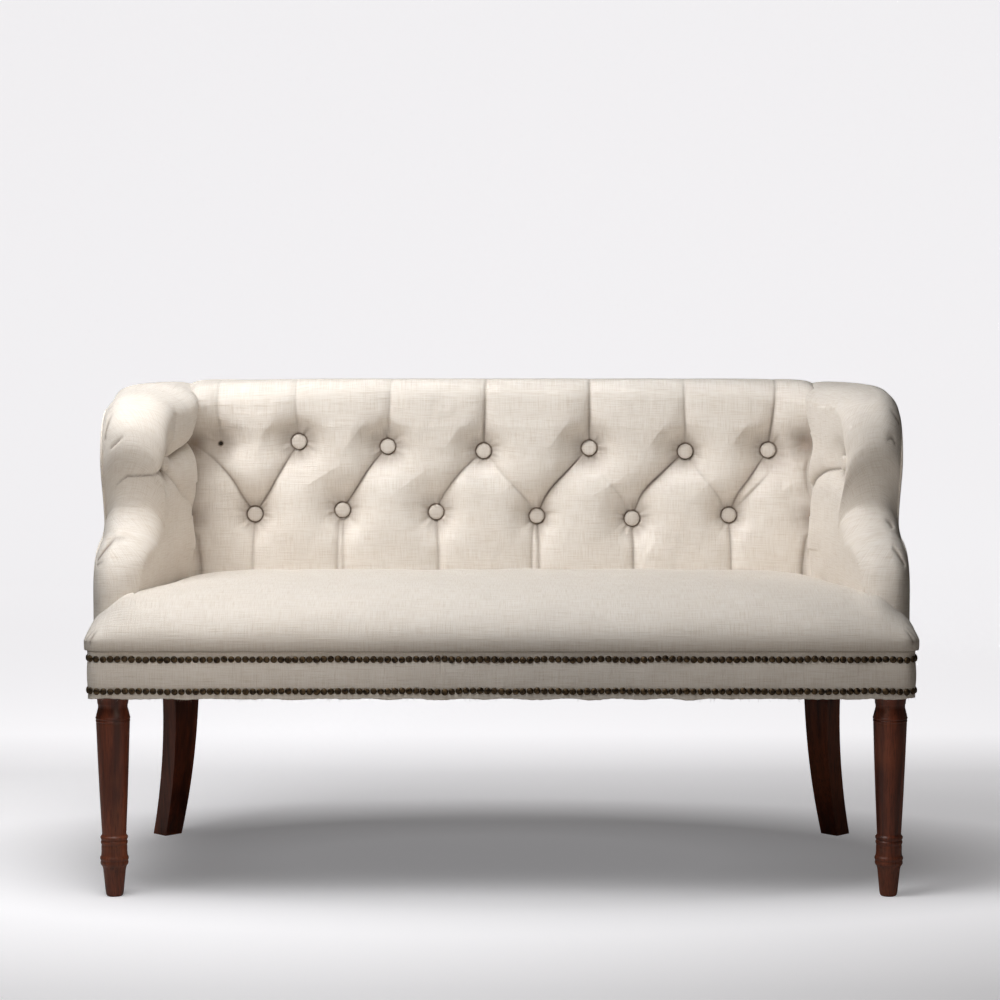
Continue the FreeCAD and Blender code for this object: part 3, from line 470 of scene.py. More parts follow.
# %% Pleats and buttons as numbers
def along(u, v, line):
    """For each point: its distance to a bent line, the share of the way along it, and its side, from -1
    below the line to 1 above it, which turns smoothly round the line's ends."""
    line = np.array(line, float)
    if len(line) > 2:
        run = np.linalg.norm(np.diff(line, axis=0), axis=1).sum()
        line = smooth_line(line, run / min(12, 3 * len(line)))
    spans = np.diff(line, axis=0)
    lengths = np.linalg.norm(spans, axis=1)
    starts = np.r_[0, np.cumsum(lengths)]
    best = np.full(u.shape, 1e9)
    share, side = np.zeros(u.shape), np.zeros(u.shape)
    for (x0, y0), (dx, dy), length, start in zip(line, spans, lengths, starts):
        t = np.clip(((u - x0) * dx + (v - y0) * dy) / length ** 2, 0, 1)
        away = np.hypot(u - x0 - t * dx, v - y0 - t * dy)
        nearer = away < best
        best = np.where(nearer, away, best)
        share = np.where(nearer, (start + t * length) / starts[-1], share)
        across = (dx * (v - y0) - dy * (u - x0)) / length * (1 if dx >= 0 else -1)
        side = np.where(nearer, np.clip(across / np.maximum(away, 0.3), -1, 1), side)
    return best, share, side


def pleat(u, v, line, depths, width, steep=0.6, sharp=1.0):
    """The share of fullness that one pleat leaves, and its crease, which is 1 on the fold itself. depths
    are read evenly from the pleat's start to its end. A pleat with no sharpness is a soft valley."""
    away, share, side = along(u, v, line)
    depth = np.interp(share, np.linspace(0, 1, len(depths)), depths)
    if not sharp:
        return 1 - depth * np.exp(-(away / width) ** 2), 0 * away
    reach = width * (1 + (steep - 1) * (1 + side) / 2)
    crease = sharp * np.clip(depth * 1.15, 0, 1) * np.exp(-(away / CREASE) ** 1.5)
    return 1 - depth * np.exp(-away / reach), crease


def dimple(u, v, spot, radius):
    """Near a button: the share of fullness, 1 - exp(-(r / radius)^1.7), and the narrow moat at its rim."""
    r = np.hypot(u - spot[0], v - spot[1])
    return 1 - np.exp(-(r / radius) ** 1.7), np.exp(-((r - MOAT) / 1.9) ** 2)


def gathers(u, v, spot, seed, reach=13.0):
    """Small folds that run out from a button: two uneven sines round it, strongest near its rim."""
    rng = np.random.default_rng(seed)
    dx, dy = u - spot[0], v - spot[1]
    r, angle = np.hypot(dx, dy), np.arctan2(dy, dx)
    folds = np.sin(rng.integers(7, 10) * angle + rng.uniform(0, 6)) \
        + 0.7 * np.sin(rng.integers(11, 15) * angle + rng.uniform(0, 6))
    return folds * np.exp(-((r - 20.0) / reach) ** 2)


def stand_out(lift, fullness, crease, moat, folds):
    """How far the cover stands off: lift * fullness^0.85, less the folds and moats, plus the gathers."""
    return lift * fullness ** 0.85 - FOLD_DEEP * crease - MOAT_DEEP * moat + GATHER_HIGH * folds


def valley_shade(fullness):
    """The shade of a valley: 0 where fullness is above 0.42, and half at its bottom."""
    return 0.5 * np.clip(1 - fullness / 0.42, 0, 1) ** 1.5


def round_shade(u, v, spot, radius, dark):
    """A round soft shade about a spot: dark * exp(-(r / radius)^2)."""
    return dark * np.exp(-(np.hypot(u - spot[0], v - spot[1]) / radius) ** 2)


CREASE, MOAT = 2.1, 13.8          # half width of a fold, and radius of the groove round a button
FOLD_DEEP, MOAT_DEEP, GATHER_HIGH = 3.4, 4.0, 0.9
print("pleats, dimples and gathers are ready")

# %% [markdown]
# ## The buttoned back
#
# The back is one pad from wing to wing. Its section from the seat up, over the roll and down behind is a
# smooth line, and across the settee that line moves with the bow and the corner's circle. The two rows
# of buttons and their pleats are laid out one by one where the real ones are: the diagonals that rise to
# the right are sharp folds, most of the others are only soft valleys, and the upright pleats run from
# the upper buttons over the roll and from the lower ones down into the seat. One upper button is
# missing, and leaves a small hole, darkened with painted shade.

# %% Buttons and pleats of the back, as (x, height) in millimetres
UPPER = [(-352, 694), (-198, 685), (-31, 677), (153, 682), (320, 677), (463, 680)]
LOWER = [(-429, 568), (-277, 574), (-114, 570), (62, 563), (228, 559), (396, 566)]
LOST = (-486, 692)
CORNERS_UP = [(-531, 692), (524, 695)]
CORNERS_LOW = [(-545, 566), (541, 566)]

SHARP = [  # line, depths from start to end, width, sharpness
    ([LOWER[0], (-447, 596), (-466, 630), (-500, 668), CORNERS_UP[0]], (0.9, 0.6, 0.6, 0.75), 30, 1.0),
    ([LOWER[0], (-404, 606), (-385, 640), UPPER[0]], (0.92, 0.62, 0.9), 28, 1.0),
    ([LOWER[1], (-254, 610), (-228, 650), UPPER[1]], (0.92, 0.7, 0.92), 28, 1.0),
    ([LOWER[2], (-101, 600), (-72, 640), UPPER[2]], (0.92, 0.6, 0.8), 26, 0.7),
    ([LOWER[3], (82, 606), (122, 650), UPPER[3]], (0.92, 0.72, 0.92), 28, 1.0),
    ([LOWER[4], (248, 608), (290, 650), UPPER[4]], (0.92, 0.7, 0.92), 28, 1.0),
    ([LOWER[5], (412, 606), (440, 646), UPPER[5]], (0.92, 0.6, 0.9), 26, 0.9),
    ([LOWER[5], (432, 606), (470, 650), (478, 690)], (0.6, 0.25, 0.15), 10, 0.7),
    ([LOWER[3], (40, 596), (0, 640), UPPER[2]], (0.8, 0.3, 0.6), 22, 0.55),
    ([LOWER[4], (206, 600), (172, 640)], (0.8, 0.35, 0.0), 18, 0.6),
    ([LOWER[5], (374, 604), (340, 646), UPPER[4]], (0.8, 0.25, 0.6), 22, 0.5),
]
SOFT = [
    ([LOWER[1], UPPER[0]], (0.8, 0.36, 0.7), 38),
    ([LOWER[2], UPPER[1]], (0.85, 0.36, 0.7), 38),
    ([LOWER[4], UPPER[3]], (0.7, 0.3, 0.7), 38),
    ([CORNERS_LOW[0], LOST], (0.6, 0.3, 0.5), 32),
    ([CORNERS_LOW[1], UPPER[5]], (0.6, 0.32, 0.6), 34),
    ([LOST, UPPER[0]], (0.4, 0.12, 0.4), 34),
] + [([spot, (spot[0] - 52, spot[1] + 34)], (0.85, 0.5, 0.0), 24) for spot in UPPER]
RISING = [(LOST, -489, 0.5, 0.5), (UPPER[0], -356, 0.5, 0.4), (UPPER[1], -191, 0.5, 0.45),
          (UPPER[2], -27, 0.7, 1.0), (UPPER[3], 153, 0.72, 1.0), (UPPER[4], 316, 0.55, 0.6),
          (UPPER[5], 473, 0.7, 0.9)]
FALLING = [(LOWER[0], -431, 0.5, 0.8), (LOWER[1], -275, 0.5, 0.8), (LOWER[2], -109, 0.55, 0.8),
           (LOWER[3], 66, 0.55, 0.9), (LOWER[4], 230, 0.6, 0.9), (LOWER[5], 399, 0.55, 0.8)]
CORNER_SEAM = [(522, 400), (520, 465), (526, 528), (543, 566), (524, 630), (534, 694), (533, 745),
               (538, 800), (560, 900)]
print(len(UPPER) + len(LOWER) + 4, "buttons on the back and in its corners")

# %% The back's section and fullness
UPPER_ROW = 686.0                 # from here up, a height is measured along the cloth
BACK_LINE = np.array([  # y and z, from the seat up the face, over the roll and down behind
    (236, DECK), (238, 470), (241, 567), (241, 640), (239, UPPER_ROW), (233, 725), (224, 757), (221, 777),
    (229, 793), (244, 800), (262, 802), (284, 800), (300, 795.5), (309.5, 787.5), (312, 776), (312, 766)])
STUFFING = np.array([  # height, how far the pleats' crowns stand off the line above
    (DECK, 24), (470, 32), (540, 40), (600, 42), (650, 42), (690, 40), (730, 34), (765, 23), (800, 13),
    (850, 7), (900, 2)])
BOW_SHARE = np.array([(DECK, 1), (700, 1), (772, 0.9), (850, 0.45), (915, 0)])    # height, share
SAG_LEFT, SAG_RIGHT = 9.0, 3.0    # how much lower the worn top edge is towards each end
HIDDEN = 930.0                    # the cloth map's height for the face inside the frame


def read_off(table, height):
    """The second column of a table at a height, as a column of values."""
    return np.interp(height, table[:, 0], table[:, 1])[:, None]


back_line = smooth_line(BACK_LINE, 1.7)
run = np.r_[0, np.cumsum(np.hypot(*np.diff(back_line, axis=0).T))]
from_row = np.abs(back_line[:, 1] - UPPER_ROW) + (back_line[:, 0] > 260) * 999
height_at = UPPER_ROW + run - run[np.argmin(from_row)]
slope = np.gradient(back_line, axis=0)
slope /= np.linalg.norm(slope, axis=1)[:, None]


def back_fullness(x, h):
    """The product of what every pleat, valley and button leaves, the creases, the moats round the
    buttons and the gathers."""
    left, crease, moat, folds = (np.full(x.shape, start) for start in (1.0, 0.0, 0.0, 0.0))

    def add(line, depths, width, steep, sharp):
        part, line_crease = pleat(x, h, line, depths, width, steep, sharp)
        left[...] *= part
        crease[...] = np.maximum(crease, line_crease)

    for line, depths, width, sharp in SHARP:
        add(line, depths, width, 0.6, sharp)
    for line, depths, width in SOFT:
        add(line, depths, width, 1.0, 0)
    for spot, top_x, depth, sharp in RISING:
        line = [spot, ((spot[0] + top_x) / 2, 740), (top_x, 800), (top_x, 905)]
        add(line, (0.92, depth, depth * 0.7, depth * 0.6, 0.2), 18, 1.0, sharp)
    for spot, low_x, depth, sharp in FALLING:
        add([spot, (low_x, 500), (low_x, 400)], (0.92, depth, depth * 0.8, depth * 0.7), 17, 0.8, sharp)
    for spot, low_x in ((LOWER[1], -284), (LOWER[3], 54)):
        add([spot, (low_x, 520), (low_x, 400)], (0.4, 0.25, 0.2), 6, 1.0, 0.8)
    add([(-271, 790), (-268, 850), (-270, 900)], (0.0, 0.3, 0.2), 9, 1.0, 0.6)
    for side in (-1, 1):
        add([(side * seam_x, seam_h) for seam_x, seam_h in CORNER_SEAM], (1.0, 1.0), 26, 1.0, 0.4)
    for i, spot in enumerate(UPPER + LOWER + CORNERS_UP + CORNERS_LOW + [LOST]):
        inner = spot in UPPER + LOWER
        part, rim = dimple(x, h, spot, 25.0 if inner or spot == LOST else 36.0)
        left *= part
        moat = np.maximum(moat, rim * inner)
        folds += gathers(x, h, spot, 40 + i) * (1.0 if inner else 0.4)
    near = np.min([np.hypot(x - spot[0], h - spot[1]) for spot in UPPER + LOWER], axis=0)
    return left, crease * ease(near, 12, 16), moat, folds


columns = np.linspace(-556, 556, 656)
X, H = np.meshgrid(columns, height_at)
fullness, crease, moat, folds = back_fullness(X, H)
lift = read_off(STUFFING, height_at)
puff = stand_out(lift, fullness, crease, moat, folds * (lift > 15)) \
    + 0.8 * ripples(X, H, 90, 3) + 0.25 * ripples(X, H, 22, 4)
print("back: fullness from", round(float(fullness.min()), 2), "to", round(float(fullness.max()), 2))

# %% The back as a closed pad
follow_bow = read_off(BOW_SHARE, height_at)
follow_rear = np.interp(height_at, [700, 772], [0, 1])[:, None]
Y = back_line[:, :1] - forward_bow(X) * follow_bow - rear_drop(X, CORNER_R) * follow_rear \
    - slope[:, 1:] * puff
Z = back_line[:, 1:] + slope[:, :1] * puff
at_front = ease(H, 700, 800) * (1 - ease(H, 828, 862))
Z = Z - (SAG_LEFT * ease(-X, 300, 420) + SAG_RIGHT * ease(X, 380, 520)) * at_front
Z = np.where(H > 700, lower_of(Z, corner_cap(X, Y), 4.0), Z)
over = ease(H, 730, 790) * (1 - 0.9 * over_rail(X, Y))
Z = Z - over * seam_groove(np.abs(X) - corner_seam(Y), np.where(X < 0, SEAM_DEEP[-1], SEAM_DEEP[1]), 9.0)
INSIDE_LINE = np.array([(306, 760), (285, 752), (284, 640), (284, 500), (284, DECK)])
Xr = np.repeat(columns[None, :], len(INSIDE_LINE), 0)
Yr = INSIDE_LINE[:, :1] - rear_drop(Xr, 171.0)
Zr = np.repeat(INSIDE_LINE[:, 1:], len(columns), 1)
points, faces = closed_tube(np.concatenate([np.stack([X, Y, Z], -1), np.stack([Xr, Yr, Zr], -1)]))
cloth_h = np.concatenate([H, np.full(Xr.shape, HIDDEN)])
cloth = np.stack([np.concatenate([X, Xr]), cloth_h], -1).reshape(-1, 2)
# Painted shade: dark brown in the valleys, on the creases, in the moats round the buttons and round the
# corner buttons' pockets, and near black in the lost button's hole, where the mesh has no deep pit.
painted_shade = np.maximum.reduce([valley_shade(fullness), 0.95 * crease, 1.25 * moat])
for spot in CORNERS_UP + CORNERS_LOW:
    painted_shade = np.maximum(painted_shade, round_shade(X, H, spot, 31.0, 0.95))
hole = np.exp(-(np.hypot(X - LOST[0], H - LOST[1]) / 4.2) ** 4)
painted_shade = np.concatenate([np.maximum(painted_shade, 4.0 * hole), Xr * 0]).ravel()
back = add_piece("buttoned_back", points, faces, linen, np.vstack([cloth, cloth[:2]]),
                 ("inside_back",), np.r_[painted_shade, 0, 0])

# %% [markdown]
# ## Wings and arms
#
# Seen from the side, a wing and its arm are one shape: up the front of the arm, over its top, in at the
# neck and out again round the wing, like a large numeral. The pad is that outline with a round edge. A
# ring of points follows the outline, and copies of it are drawn in towards one centre: over the inner
# face, round the edge as half an ellipse, and back over the outer face. The outline could also be filled
# flat and given a bevel, but then the edge would have one radius and no pleats could run round it.

# %% The side outline
NECK = (-88, 606)


def side_outline():
    """The wing's outline as (y, z) points every 3.2 mm: a smooth line through measured points up the
    front of arm and wing and over the top, then straight along, down and back, with softened corners."""
    front = smooth_line(np.array([
        (WING_FRONT_Y, 450), (WING_FRONT_Y, 485), (-240, 512), (-226, 535), (-200, 555), (-165, 568),
        (-128, 577), (-102, 590), NECK, (-90, 630), (-103, 662), (-120, 692), (-127, 718), (-122, 748),
        (-102, 775), (-72, 792), (-43, 798), (0, 800)]), 2.0)
    foot = (WING_FRONT_Y, DECK)
    rest = [(120, 802), (292, 801), (292, DECK), foot]
    line = even_line(np.vstack([[foot], front, rest]), 3.2)[:-1]
    kernel = np.hanning(7) / np.hanning(7).sum()
    padded = np.vstack([line[-3:], line, line[:3]])
    return np.stack([np.convolve(padded[:, i], kernel, "valid") for i in (0, 1)], -1)


outline = side_outline()
centre = np.array([20.0, 470.0])
ray = centre - outline
ray /= np.linalg.norm(ray, axis=1)[:, None]
ahead = np.roll(outline, -1, 0) - np.roll(outline, 1, 0)
inward = np.stack([ahead[:, 1], -ahead[:, 0]], -1) / np.linalg.norm(ahead, axis=1)[:, None]
squareness = np.clip((ray * inward).sum(1), 0.6, 1)
upward = ease(outline[:, 0], -112, -50) * (outline[:, 1] > 700)
unroll = np.stack([-(1 - upward), upward], -1)
unroll /= np.linalg.norm(unroll, axis=1)[:, None]
rolled = (1 - ease(outline[:, 0], 284, 291) * (outline[:, 1] < 790)) * ease(outline[:, 1], 398, 430)
roll_width = (4.0 + 36.0 * rolled) / squareness
roll_outside = roll_width * (1 - 0.64 * ease(outline[:, 0], 10, 100))
print("side outline:", len(outline), "points, neck at", NECK)


# %% Pleats of the wings, as (y, height) on the inner face
WING_BUTTON = (-50, 676)
POCKETS = [(174, 694), (176, 566)]         # where the corner's buttons pull the wing in
LEFT_WING_LOWER = 8.0                      # the left wing's top is a little lower than the right's
WING_SEAM = [(170, DECK), (174, 470), (168, 528), POCKETS[1], (168, 630), POCKETS[0], (174, 745)]
WING_PLEATS = {  # line, depths, width, sharpness
    -1: [([WING_BUTTON, (20, 690), (102, 700), (172, 696)], (0.95, 0.75, 0.9), 26, 1.0),
         ([WING_BUTTON, (-98, 664), (-116, 657), (-138, 650)], (0.95, 0.85, 0.7, 0.3), 15, 1.0),
         ([(-178, 721), (-156, 725), (-131, 732)], (0.8, 1.0, 0.3), 7, 1.0),
         ([(-187, 746), (-162, 762), (-135, 776)], (0.9, 0.8, 0.2), 6, 1.0),
         ([WING_BUTTON, (-20, 720), (-10, 770)], (0.8, 0.25, 0.1), 14, 0.4),
         ([WING_BUTTON, (0, 640), (70, 606), (172, 580)], (0.8, 0.4, 0.2, 0.5), 22, 0.6),
         ([(-276, 536), (-219, 555), (-172, 566)], (0.9, 1.0, 0.3), 6, 1.0),
         ([(-280, 528), (-256, 531)], (0.7, 0.3), 5, 1.0)],
    1: [([WING_BUTTON, (-12, 664), (68, 652), (147, 620), (172, 580)], (0.9, 0.6, 0.6, 0.7, 0.9), 24, 1.0),
        ([(172, 566), (150, 600), (165, 614)], (0.6, 0.4, 0.0), 12, 0.8),
        ([WING_BUTTON, (30, 684), (110, 694), (172, 696)], (0.8, 0.18, 0.55), 32, 0.0),
        ([WING_BUTTON, (-30, 700), (-22, 716)], (0.6, 0.2, 0.0), 12, 0.5),
        ([(-134, 773), (-156, 768), (-178, 764)], (0.3, 0.9, 0.9), 6, 1.0),
        ([(-150, 723), (-168, 731), (-186, 726)], (0.5, 0.9, 0.8), 6, 1.0),
        ([(-118, 590), (-140, 585), (-154, 580)], (0.2, 0.7, 0.6), 5, 1.0),
        ([(-215, 551), (-240, 543), (-272, 528)], (0.4, 0.9, 0.9), 6, 1.0)],
}


def wing_fullness(y, h, side):
    """Fullness of the wing's inner face: its own pleats, the corner's seam and the button's dimple."""
    left, crease = np.ones(y.shape), np.zeros(y.shape)
    for line, depths, width, sharp in WING_PLEATS[side] + [(WING_SEAM, (1.0, 1.0), 28, 0.4)]:
        part, line_crease = pleat(y, h, line, depths, width, 0.7, sharp)
        left *= part
        crease = np.maximum(crease, line_crease)
    for spot in POCKETS:
        left *= dimple(y, h, spot, 38.0)[0]
    part, moat = dimple(y, h, WING_BUTTON, 32.0)
    left *= part
    near = np.hypot(y - WING_BUTTON[0], h - WING_BUTTON[1])
    folds = gathers(y, h, WING_BUTTON, 70 + side)
    wrinkles = np.exp(-((h - 632) / 24) ** 2 - ((y + 104) / 40) ** 2) * np.sin((h + 0.12 * y) * 0.62)
    return left, crease * ease(near, 12, 16), moat, folds + (1.1 * wrinkles if side < 0 else 0)


# %% A wing pad
def wing_pad(side, name, node):
    """Rows of rings: the inner face from its centre out, half an ellipse round the edge with x = middle
    - half thickness * cos(angle) and inset = width * (1 - sin(angle)), and the outer face back in. cloth
    is the map of the weave, unrolled past the edge. drawn is where the pleats are read: a point's own
    place up to the roll's front, and from there on straight past it, so that a pleat runs over it."""
    rows_in, rows_roll, rows_out = 130, 44, 7
    share = np.linspace(0, 1, rows_in + 1)[1:, None]
    angle = np.linspace(0, np.pi, rows_roll + 1)[1:, None]
    back_in = np.linspace(1, 0, rows_out + 1)[1:-1, None]
    before_front = angle[:, :, None] < np.pi / 2
    edge = outline + ray * roll_width[:, None]
    outer_edge = outline + ray * roll_outside[:, None]
    inner = centre + (edge - centre) * share[:, :, None] ** 0.9
    inset = np.where(angle < np.pi / 2, roll_width, roll_outside) * (1 - np.sin(angle))
    roll = outline + ray * inset[:, :, None]
    outer = centre + (outer_edge - centre) * back_in[:, :, None]
    flat = np.concatenate([inner, roll, outer])
    turn = np.concatenate([inner[..., 0] * 0, roll[..., 0] * 0 + angle, outer[..., 0] * 0 + np.pi])
    y, z = flat[..., 0], flat[..., 1]
    x_in, x_out = wing_inside(y, z, side), wing_outside(y)
    x_in = np.minimum(x_in, x_out - 8)
    middle, half = (x_in + x_out) / 2, (x_out - x_in) / 2
    x = middle - half * np.cos(turn)
    arc = roll_width * (1 - np.cos(np.minimum(angle, np.pi / 2)) + np.maximum(angle - np.pi / 2, 0))
    cloth = np.concatenate([inner, edge + unroll * arc[:, :, None] * 1.3,
                            edge[None] + unroll * 110 + 0.5 * (outer - edge)])
    beyond = 1.3 * roll_width * np.maximum(angle - np.pi / 2, 0)
    drawn = np.concatenate([inner, np.where(before_front, roll, outline) + unroll * beyond[:, :, None],
                            outline + unroll * 90 + 0.5 * (outer - outer_edge)])
    fullness, crease, moat, folds = wing_fullness(drawn[..., 0], drawn[..., 1], side)
    shown = np.cos(np.clip(turn, 0, np.pi / 2)) ** 0.5
    lift = 8 + (12 + 10 * ease(y, -40, 90)) * ease(z, 430, 560) * shown
    push = stand_out(lift, fullness, crease, moat, folds * shown) + 0.9 * ripples(y, z, 70, 20 + side) * shown
    x = x - push * np.where(turn > 0, shown, 1)
    rolled_in = np.where((turn > 0) & (turn < np.pi), np.sin(turn), 0)
    dent = rolled_in * ((1 - fullness) * 5.0 + 2.6 * crease - 1.0 * folds) * (z > 520)
    y, z = y + dent * ray[:, 0], z + dent * ray[:, 1]
    z = np.where((y > 60) & (z > 700), lower_of(z, corner_cap(x, y), 4.0), z)
    if side < 0:
        z = z - LEFT_WING_LOWER * ease(z, 640, 780) * (1 - ease(y, 40, 125))
    over = ease(z, 735, 785) * ease(y, 150, 190) * (1 - 0.9 * over_rail(x, y))
    z = z - over * seam_groove(corner_seam(y) - x, SEAM_DEEP[side], 10.0)
    poles = [[side * x[0].mean(), *centre], [side * wing_outside(centre[0]), *centre]]
    points = np.vstack([np.stack([side * x, y, z], -1).reshape(-1, 3), poles])
    cloth = np.vstack([cloth.reshape(-1, 2), centre, centre])
    # Painted shade: dark brown in the inner face's valleys, on its creases and moat, and round the wing's
    # button and the corner's pockets, set a little above them.
    shades = [valley_shade(fullness) * (turn < 1), 0.95 * crease * (turn < 2.6), 1.25 * moat]
    for spot, radius, dark in [(WING_BUTTON, 21.0, 0.95)] + [(pocket, 30.0, 0.9) for pocket in POCKETS]:
        shades.append(round_shade(drawn[..., 0] - 5.0, drawn[..., 1] - 3.0, spot, radius, dark))
    painted_shade = np.maximum.reduce(shades)
    pad = add_piece(name, points, ring_faces(*x.shape, flip=side < 0), linen, cloth, (node,),
                    np.r_[painted_shade.ravel(), 0, 0])


wing_pad(-1, "wing_pad_left", "inside_wing_left")
wing_pad(1, "wing_pad_right", "inside_wing_right")

# %% [markdown]
# ## Covered buttons
#
# A covered button is a low dome of the same linen, drawn tight over a metal shell, so its cloth shows
# tiny gathers at the rim. Each is turned from one profile with a few waves at its edge, and all the
# buttons of a row are one mesh, because they are one part in the frame. Their linen is darkened a little
# towards the pleats' painted shade colour, the lower row more than the upper.

# %% Buttons
BUTTON = np.array([  # radius, height: a dome that is tucked under at its rim
    (9.0, 0.0), (12.0, 0.4), (12.7, 2.2), (12.5, 4.6), (11.6, 6.3), (9.4, 7.3), (5.6, 7.9), (1.8, 8.1)])
BUTTON_TOP, ROUND_BUTTON = 8.2, 28
# How far each row's buttons are darkened towards the pleats' painted shade colour, the lower row more.
BUTTON_DARKENING_UPPER, BUTTON_DARKENING_LOWER = 0.13, 0.24


def button_points(spot, facing, seed):
    """The dome's rings, with waves of 2 per cent at the rim: spot + height * axis + radius * (cos * b +
    sin * c). The axis is the way that the button faces, a little off true."""
    rng = np.random.default_rng(seed)
    angles = np.linspace(0, 2 * np.pi, ROUND_BUTTON, endpoint=False)[None, :]
    radius, height = BUTTON[:, :1], BUTTON[:, 1:]
    waves = 1 + 0.018 * np.sin(9 * angles + rng.uniform(0, 6)) * (radius > 10)
    a = np.array(facing, float) / np.linalg.norm(facing)
    a = a + rng.uniform(-0.08, 0.08, 3)
    a /= np.linalg.norm(a)
    b = np.cross(a, [0, 0, 1])
    b /= np.linalg.norm(b)
    c = np.cross(b, a)
    turned = spot + height[..., None] * a + (radius * waves)[..., None] * (
        np.cos(angles)[..., None] * b + np.sin(angles)[..., None] * c)
    ends = np.array([spot, spot + BUTTON_TOP * a])
    cloth = np.stack([radius * np.cos(angles), radius * np.sin(angles)], -1).reshape(-1, 2)
    return np.vstack([turned.reshape(-1, 3), ends]), np.vstack([cloth, [[0, 0], [0, 0]]]) + spot[[0, 2]]


def button_row(name, places, node, darkening):
    """All the buttons of one row as one mesh. darkening is how far the linen on them is tinted towards
    the pleats' painted shade colour.
    """
    points, cloth, faces = [], [], []
    for i, (spot, facing) in enumerate(places):
        p, c = button_points(np.array(spot, float), facing, 100 + i)
        faces += ring_faces(len(BUTTON), ROUND_BUTTON, flip=True, first=sum(len(q) for q in points))
        points.append(p)
        cloth.append(c)
    marks = np.full(sum(len(q) for q in points), darkening)
    return add_piece(name, np.vstack(points), faces, linen, np.vstack(cloth), (node,), marks)


def on_back(x, height, sink=2.0):
    """A button's seat on the back's pleats, and the way that it faces."""
    y = np.interp(height, BACK_LINE[:5, 1], BACK_LINE[:5, 0]) - forward_bow(x) + sink
    tilt = (forward_bow(x + 4.0) - forward_bow(x - 4.0)) / 8.0
    return (x, float(y), height), (-float(tilt), -1.0, 0.0)


def in_corner(x, height):
    """A corner button, which faces out of the corner half way between the back and the wing."""
    spot, _ = on_back(x, height)
    side = 1 if x > 0 else -1
    return (spot[0] + side * 9, spot[1] + 7, height), (-side * 2.2, -1.0, 0.0)


def on_wing(side):
    """The wing's button, sunk 3 mm into its pleats and turned a little to the front."""
    y, z = WING_BUTTON
    return (side * (float(wing_inside(y, z, side)) - 3), y, z), (-side, -0.34, 0.0)


upper_places = [on_back(*spot) for spot in UPPER] + [in_corner(*spot) for spot in CORNERS_UP]
lower_places = [on_back(*spot) for spot in LOWER] + [in_corner(*spot) for spot in CORNERS_LOW]
button_row("buttons_upper_row", upper_places + [on_wing(-1), on_wing(1)], "buttons_upper", BUTTON_DARKENING_UPPER)
button_row("buttons_lower_row", lower_places, "buttons_lower", BUTTON_DARKENING_LOWER)

# %% [markdown]
# ## The seat
#
# The seat is one tight pad with a crown, which rolls over the rail at the front and sides and ends at
# the upper nails. It is worked out on a grid. Each column runs from the front nails up over the roll and
# back to the pleats, and the columns at the sides end in front of the arms. The roll's height is a
# superellipse of the distance to the front, so there is no line where the roll stops and the crown
# starts. At the sides the same height is multiplied by another superellipse. Where the pad meets the
# wings and the back it is drawn down, because it is pushed in behind them, and against the arms' fronts
# it swells.

# %% The seat's plan and height
CROWN, WIDEST = 488.0, 412.0                # the crown's height, and that of the roll's widest line
ROLL_DEEP, SIDE_FROM, SIDE_ROLL = 265.0, 520.0, 140.0
SEAT_FRONT, SEAT_CORNER = -314.0, 30.0      # the front's line, and its corners' radius
BACK_FALL, WING_TUCK, ARM_SWELL = 17.0, 19.0, 12.0
TUCK_X, TUCK_Z = np.array([659.4, 658.2, 655.5]), np.array([405.0, 400.0, DECK])
UNDER_ROLL = np.array([[0.5, 405.0], [1.8, 400.0], [4.5, DECK]])         # inwards, height


def seat_height(x, y, front):
    """Widest + (crown - widest) * sqrt(1 - (1 - d / depth of the roll)^3.4), with d the distance behind
    the front, less a fall to the back and the tuck along the wings, plus the swelling by the arms."""
    d = np.clip((y - front) / ROLL_DEEP, 0, 1)
    z = WIDEST + (CROWN - WIDEST) * np.sqrt(np.clip(1 - (1 - d) ** 3.4, 0, 1))
    z = z - BACK_FALL * np.clip((y + 20) / 225.0, 0, 1.2) ** 2
    gap = wing_inside(y, 470.0) - 14 - np.abs(x)
    z = z - WING_TUCK * np.exp(-np.maximum(gap, 0) / 38.0) * ease(y, -215, -20)
    swell = ARM_SWELL * np.exp(-((np.abs(x) - 600.0) / 27.0) ** 2)
    return z + swell * ease(y, -305, WING_FRONT_Y) * (1 - ease(y, -240, -170))


def seat_end(x):
    """Where each column ends: at the back's pleats, then along the wing's inside, then under the roll of
    the arm's front."""
    behind = 226.0 - forward_bow(x)
    along_y = np.linspace(WING_FRONT_Y, 232.0, 200)
    wing_y = np.interp(-np.abs(x), -(wing_inside(along_y, 470.0) - 12.0), along_y)
    return np.minimum(behind, wing_y) + np.interp(np.abs(x), [583, 590, 606, 626], [0, 25, 16, 14])


def both_sides(values, sign=1):
    """A run of values from the middle outwards, with its mirror image before it."""
    return np.r_[sign * values[:0:-1], values]


angles = np.linspace(0, np.pi / 2, 96)
side_x = np.r_[np.linspace(0, SIDE_FROM, 190), SIDE_FROM + SIDE_ROLL * np.sin(angles[1:])]
side_fall = np.sqrt(1 - np.clip((side_x - SIDE_FROM) / SIDE_ROLL, 0, 1) ** 2.5)
side_fall[-1] = 0
side_x, side_fall = np.r_[side_x, TUCK_X], np.r_[side_fall, 0 * TUCK_X]
xs, fall = both_sides(side_x, -1), both_sides(side_fall)
limit = both_sides(np.r_[np.full(len(side_x) - 3, WIDEST), TUCK_Z])
past_corner = np.clip(np.abs(xs) - 630.0, 0, SEAT_CORNER - 0.1)
front = SEAT_FRONT + SEAT_CORNER - np.sqrt(SEAT_CORNER ** 2 - past_corner ** 2)
share = (0.5 * (1 - np.cos(np.linspace(0, np.pi, 190)))) ** 1.35
end = np.maximum(seat_end(xs), front + 40.0)
y_top = front[None] + (end - front)[None] * share[:, None]
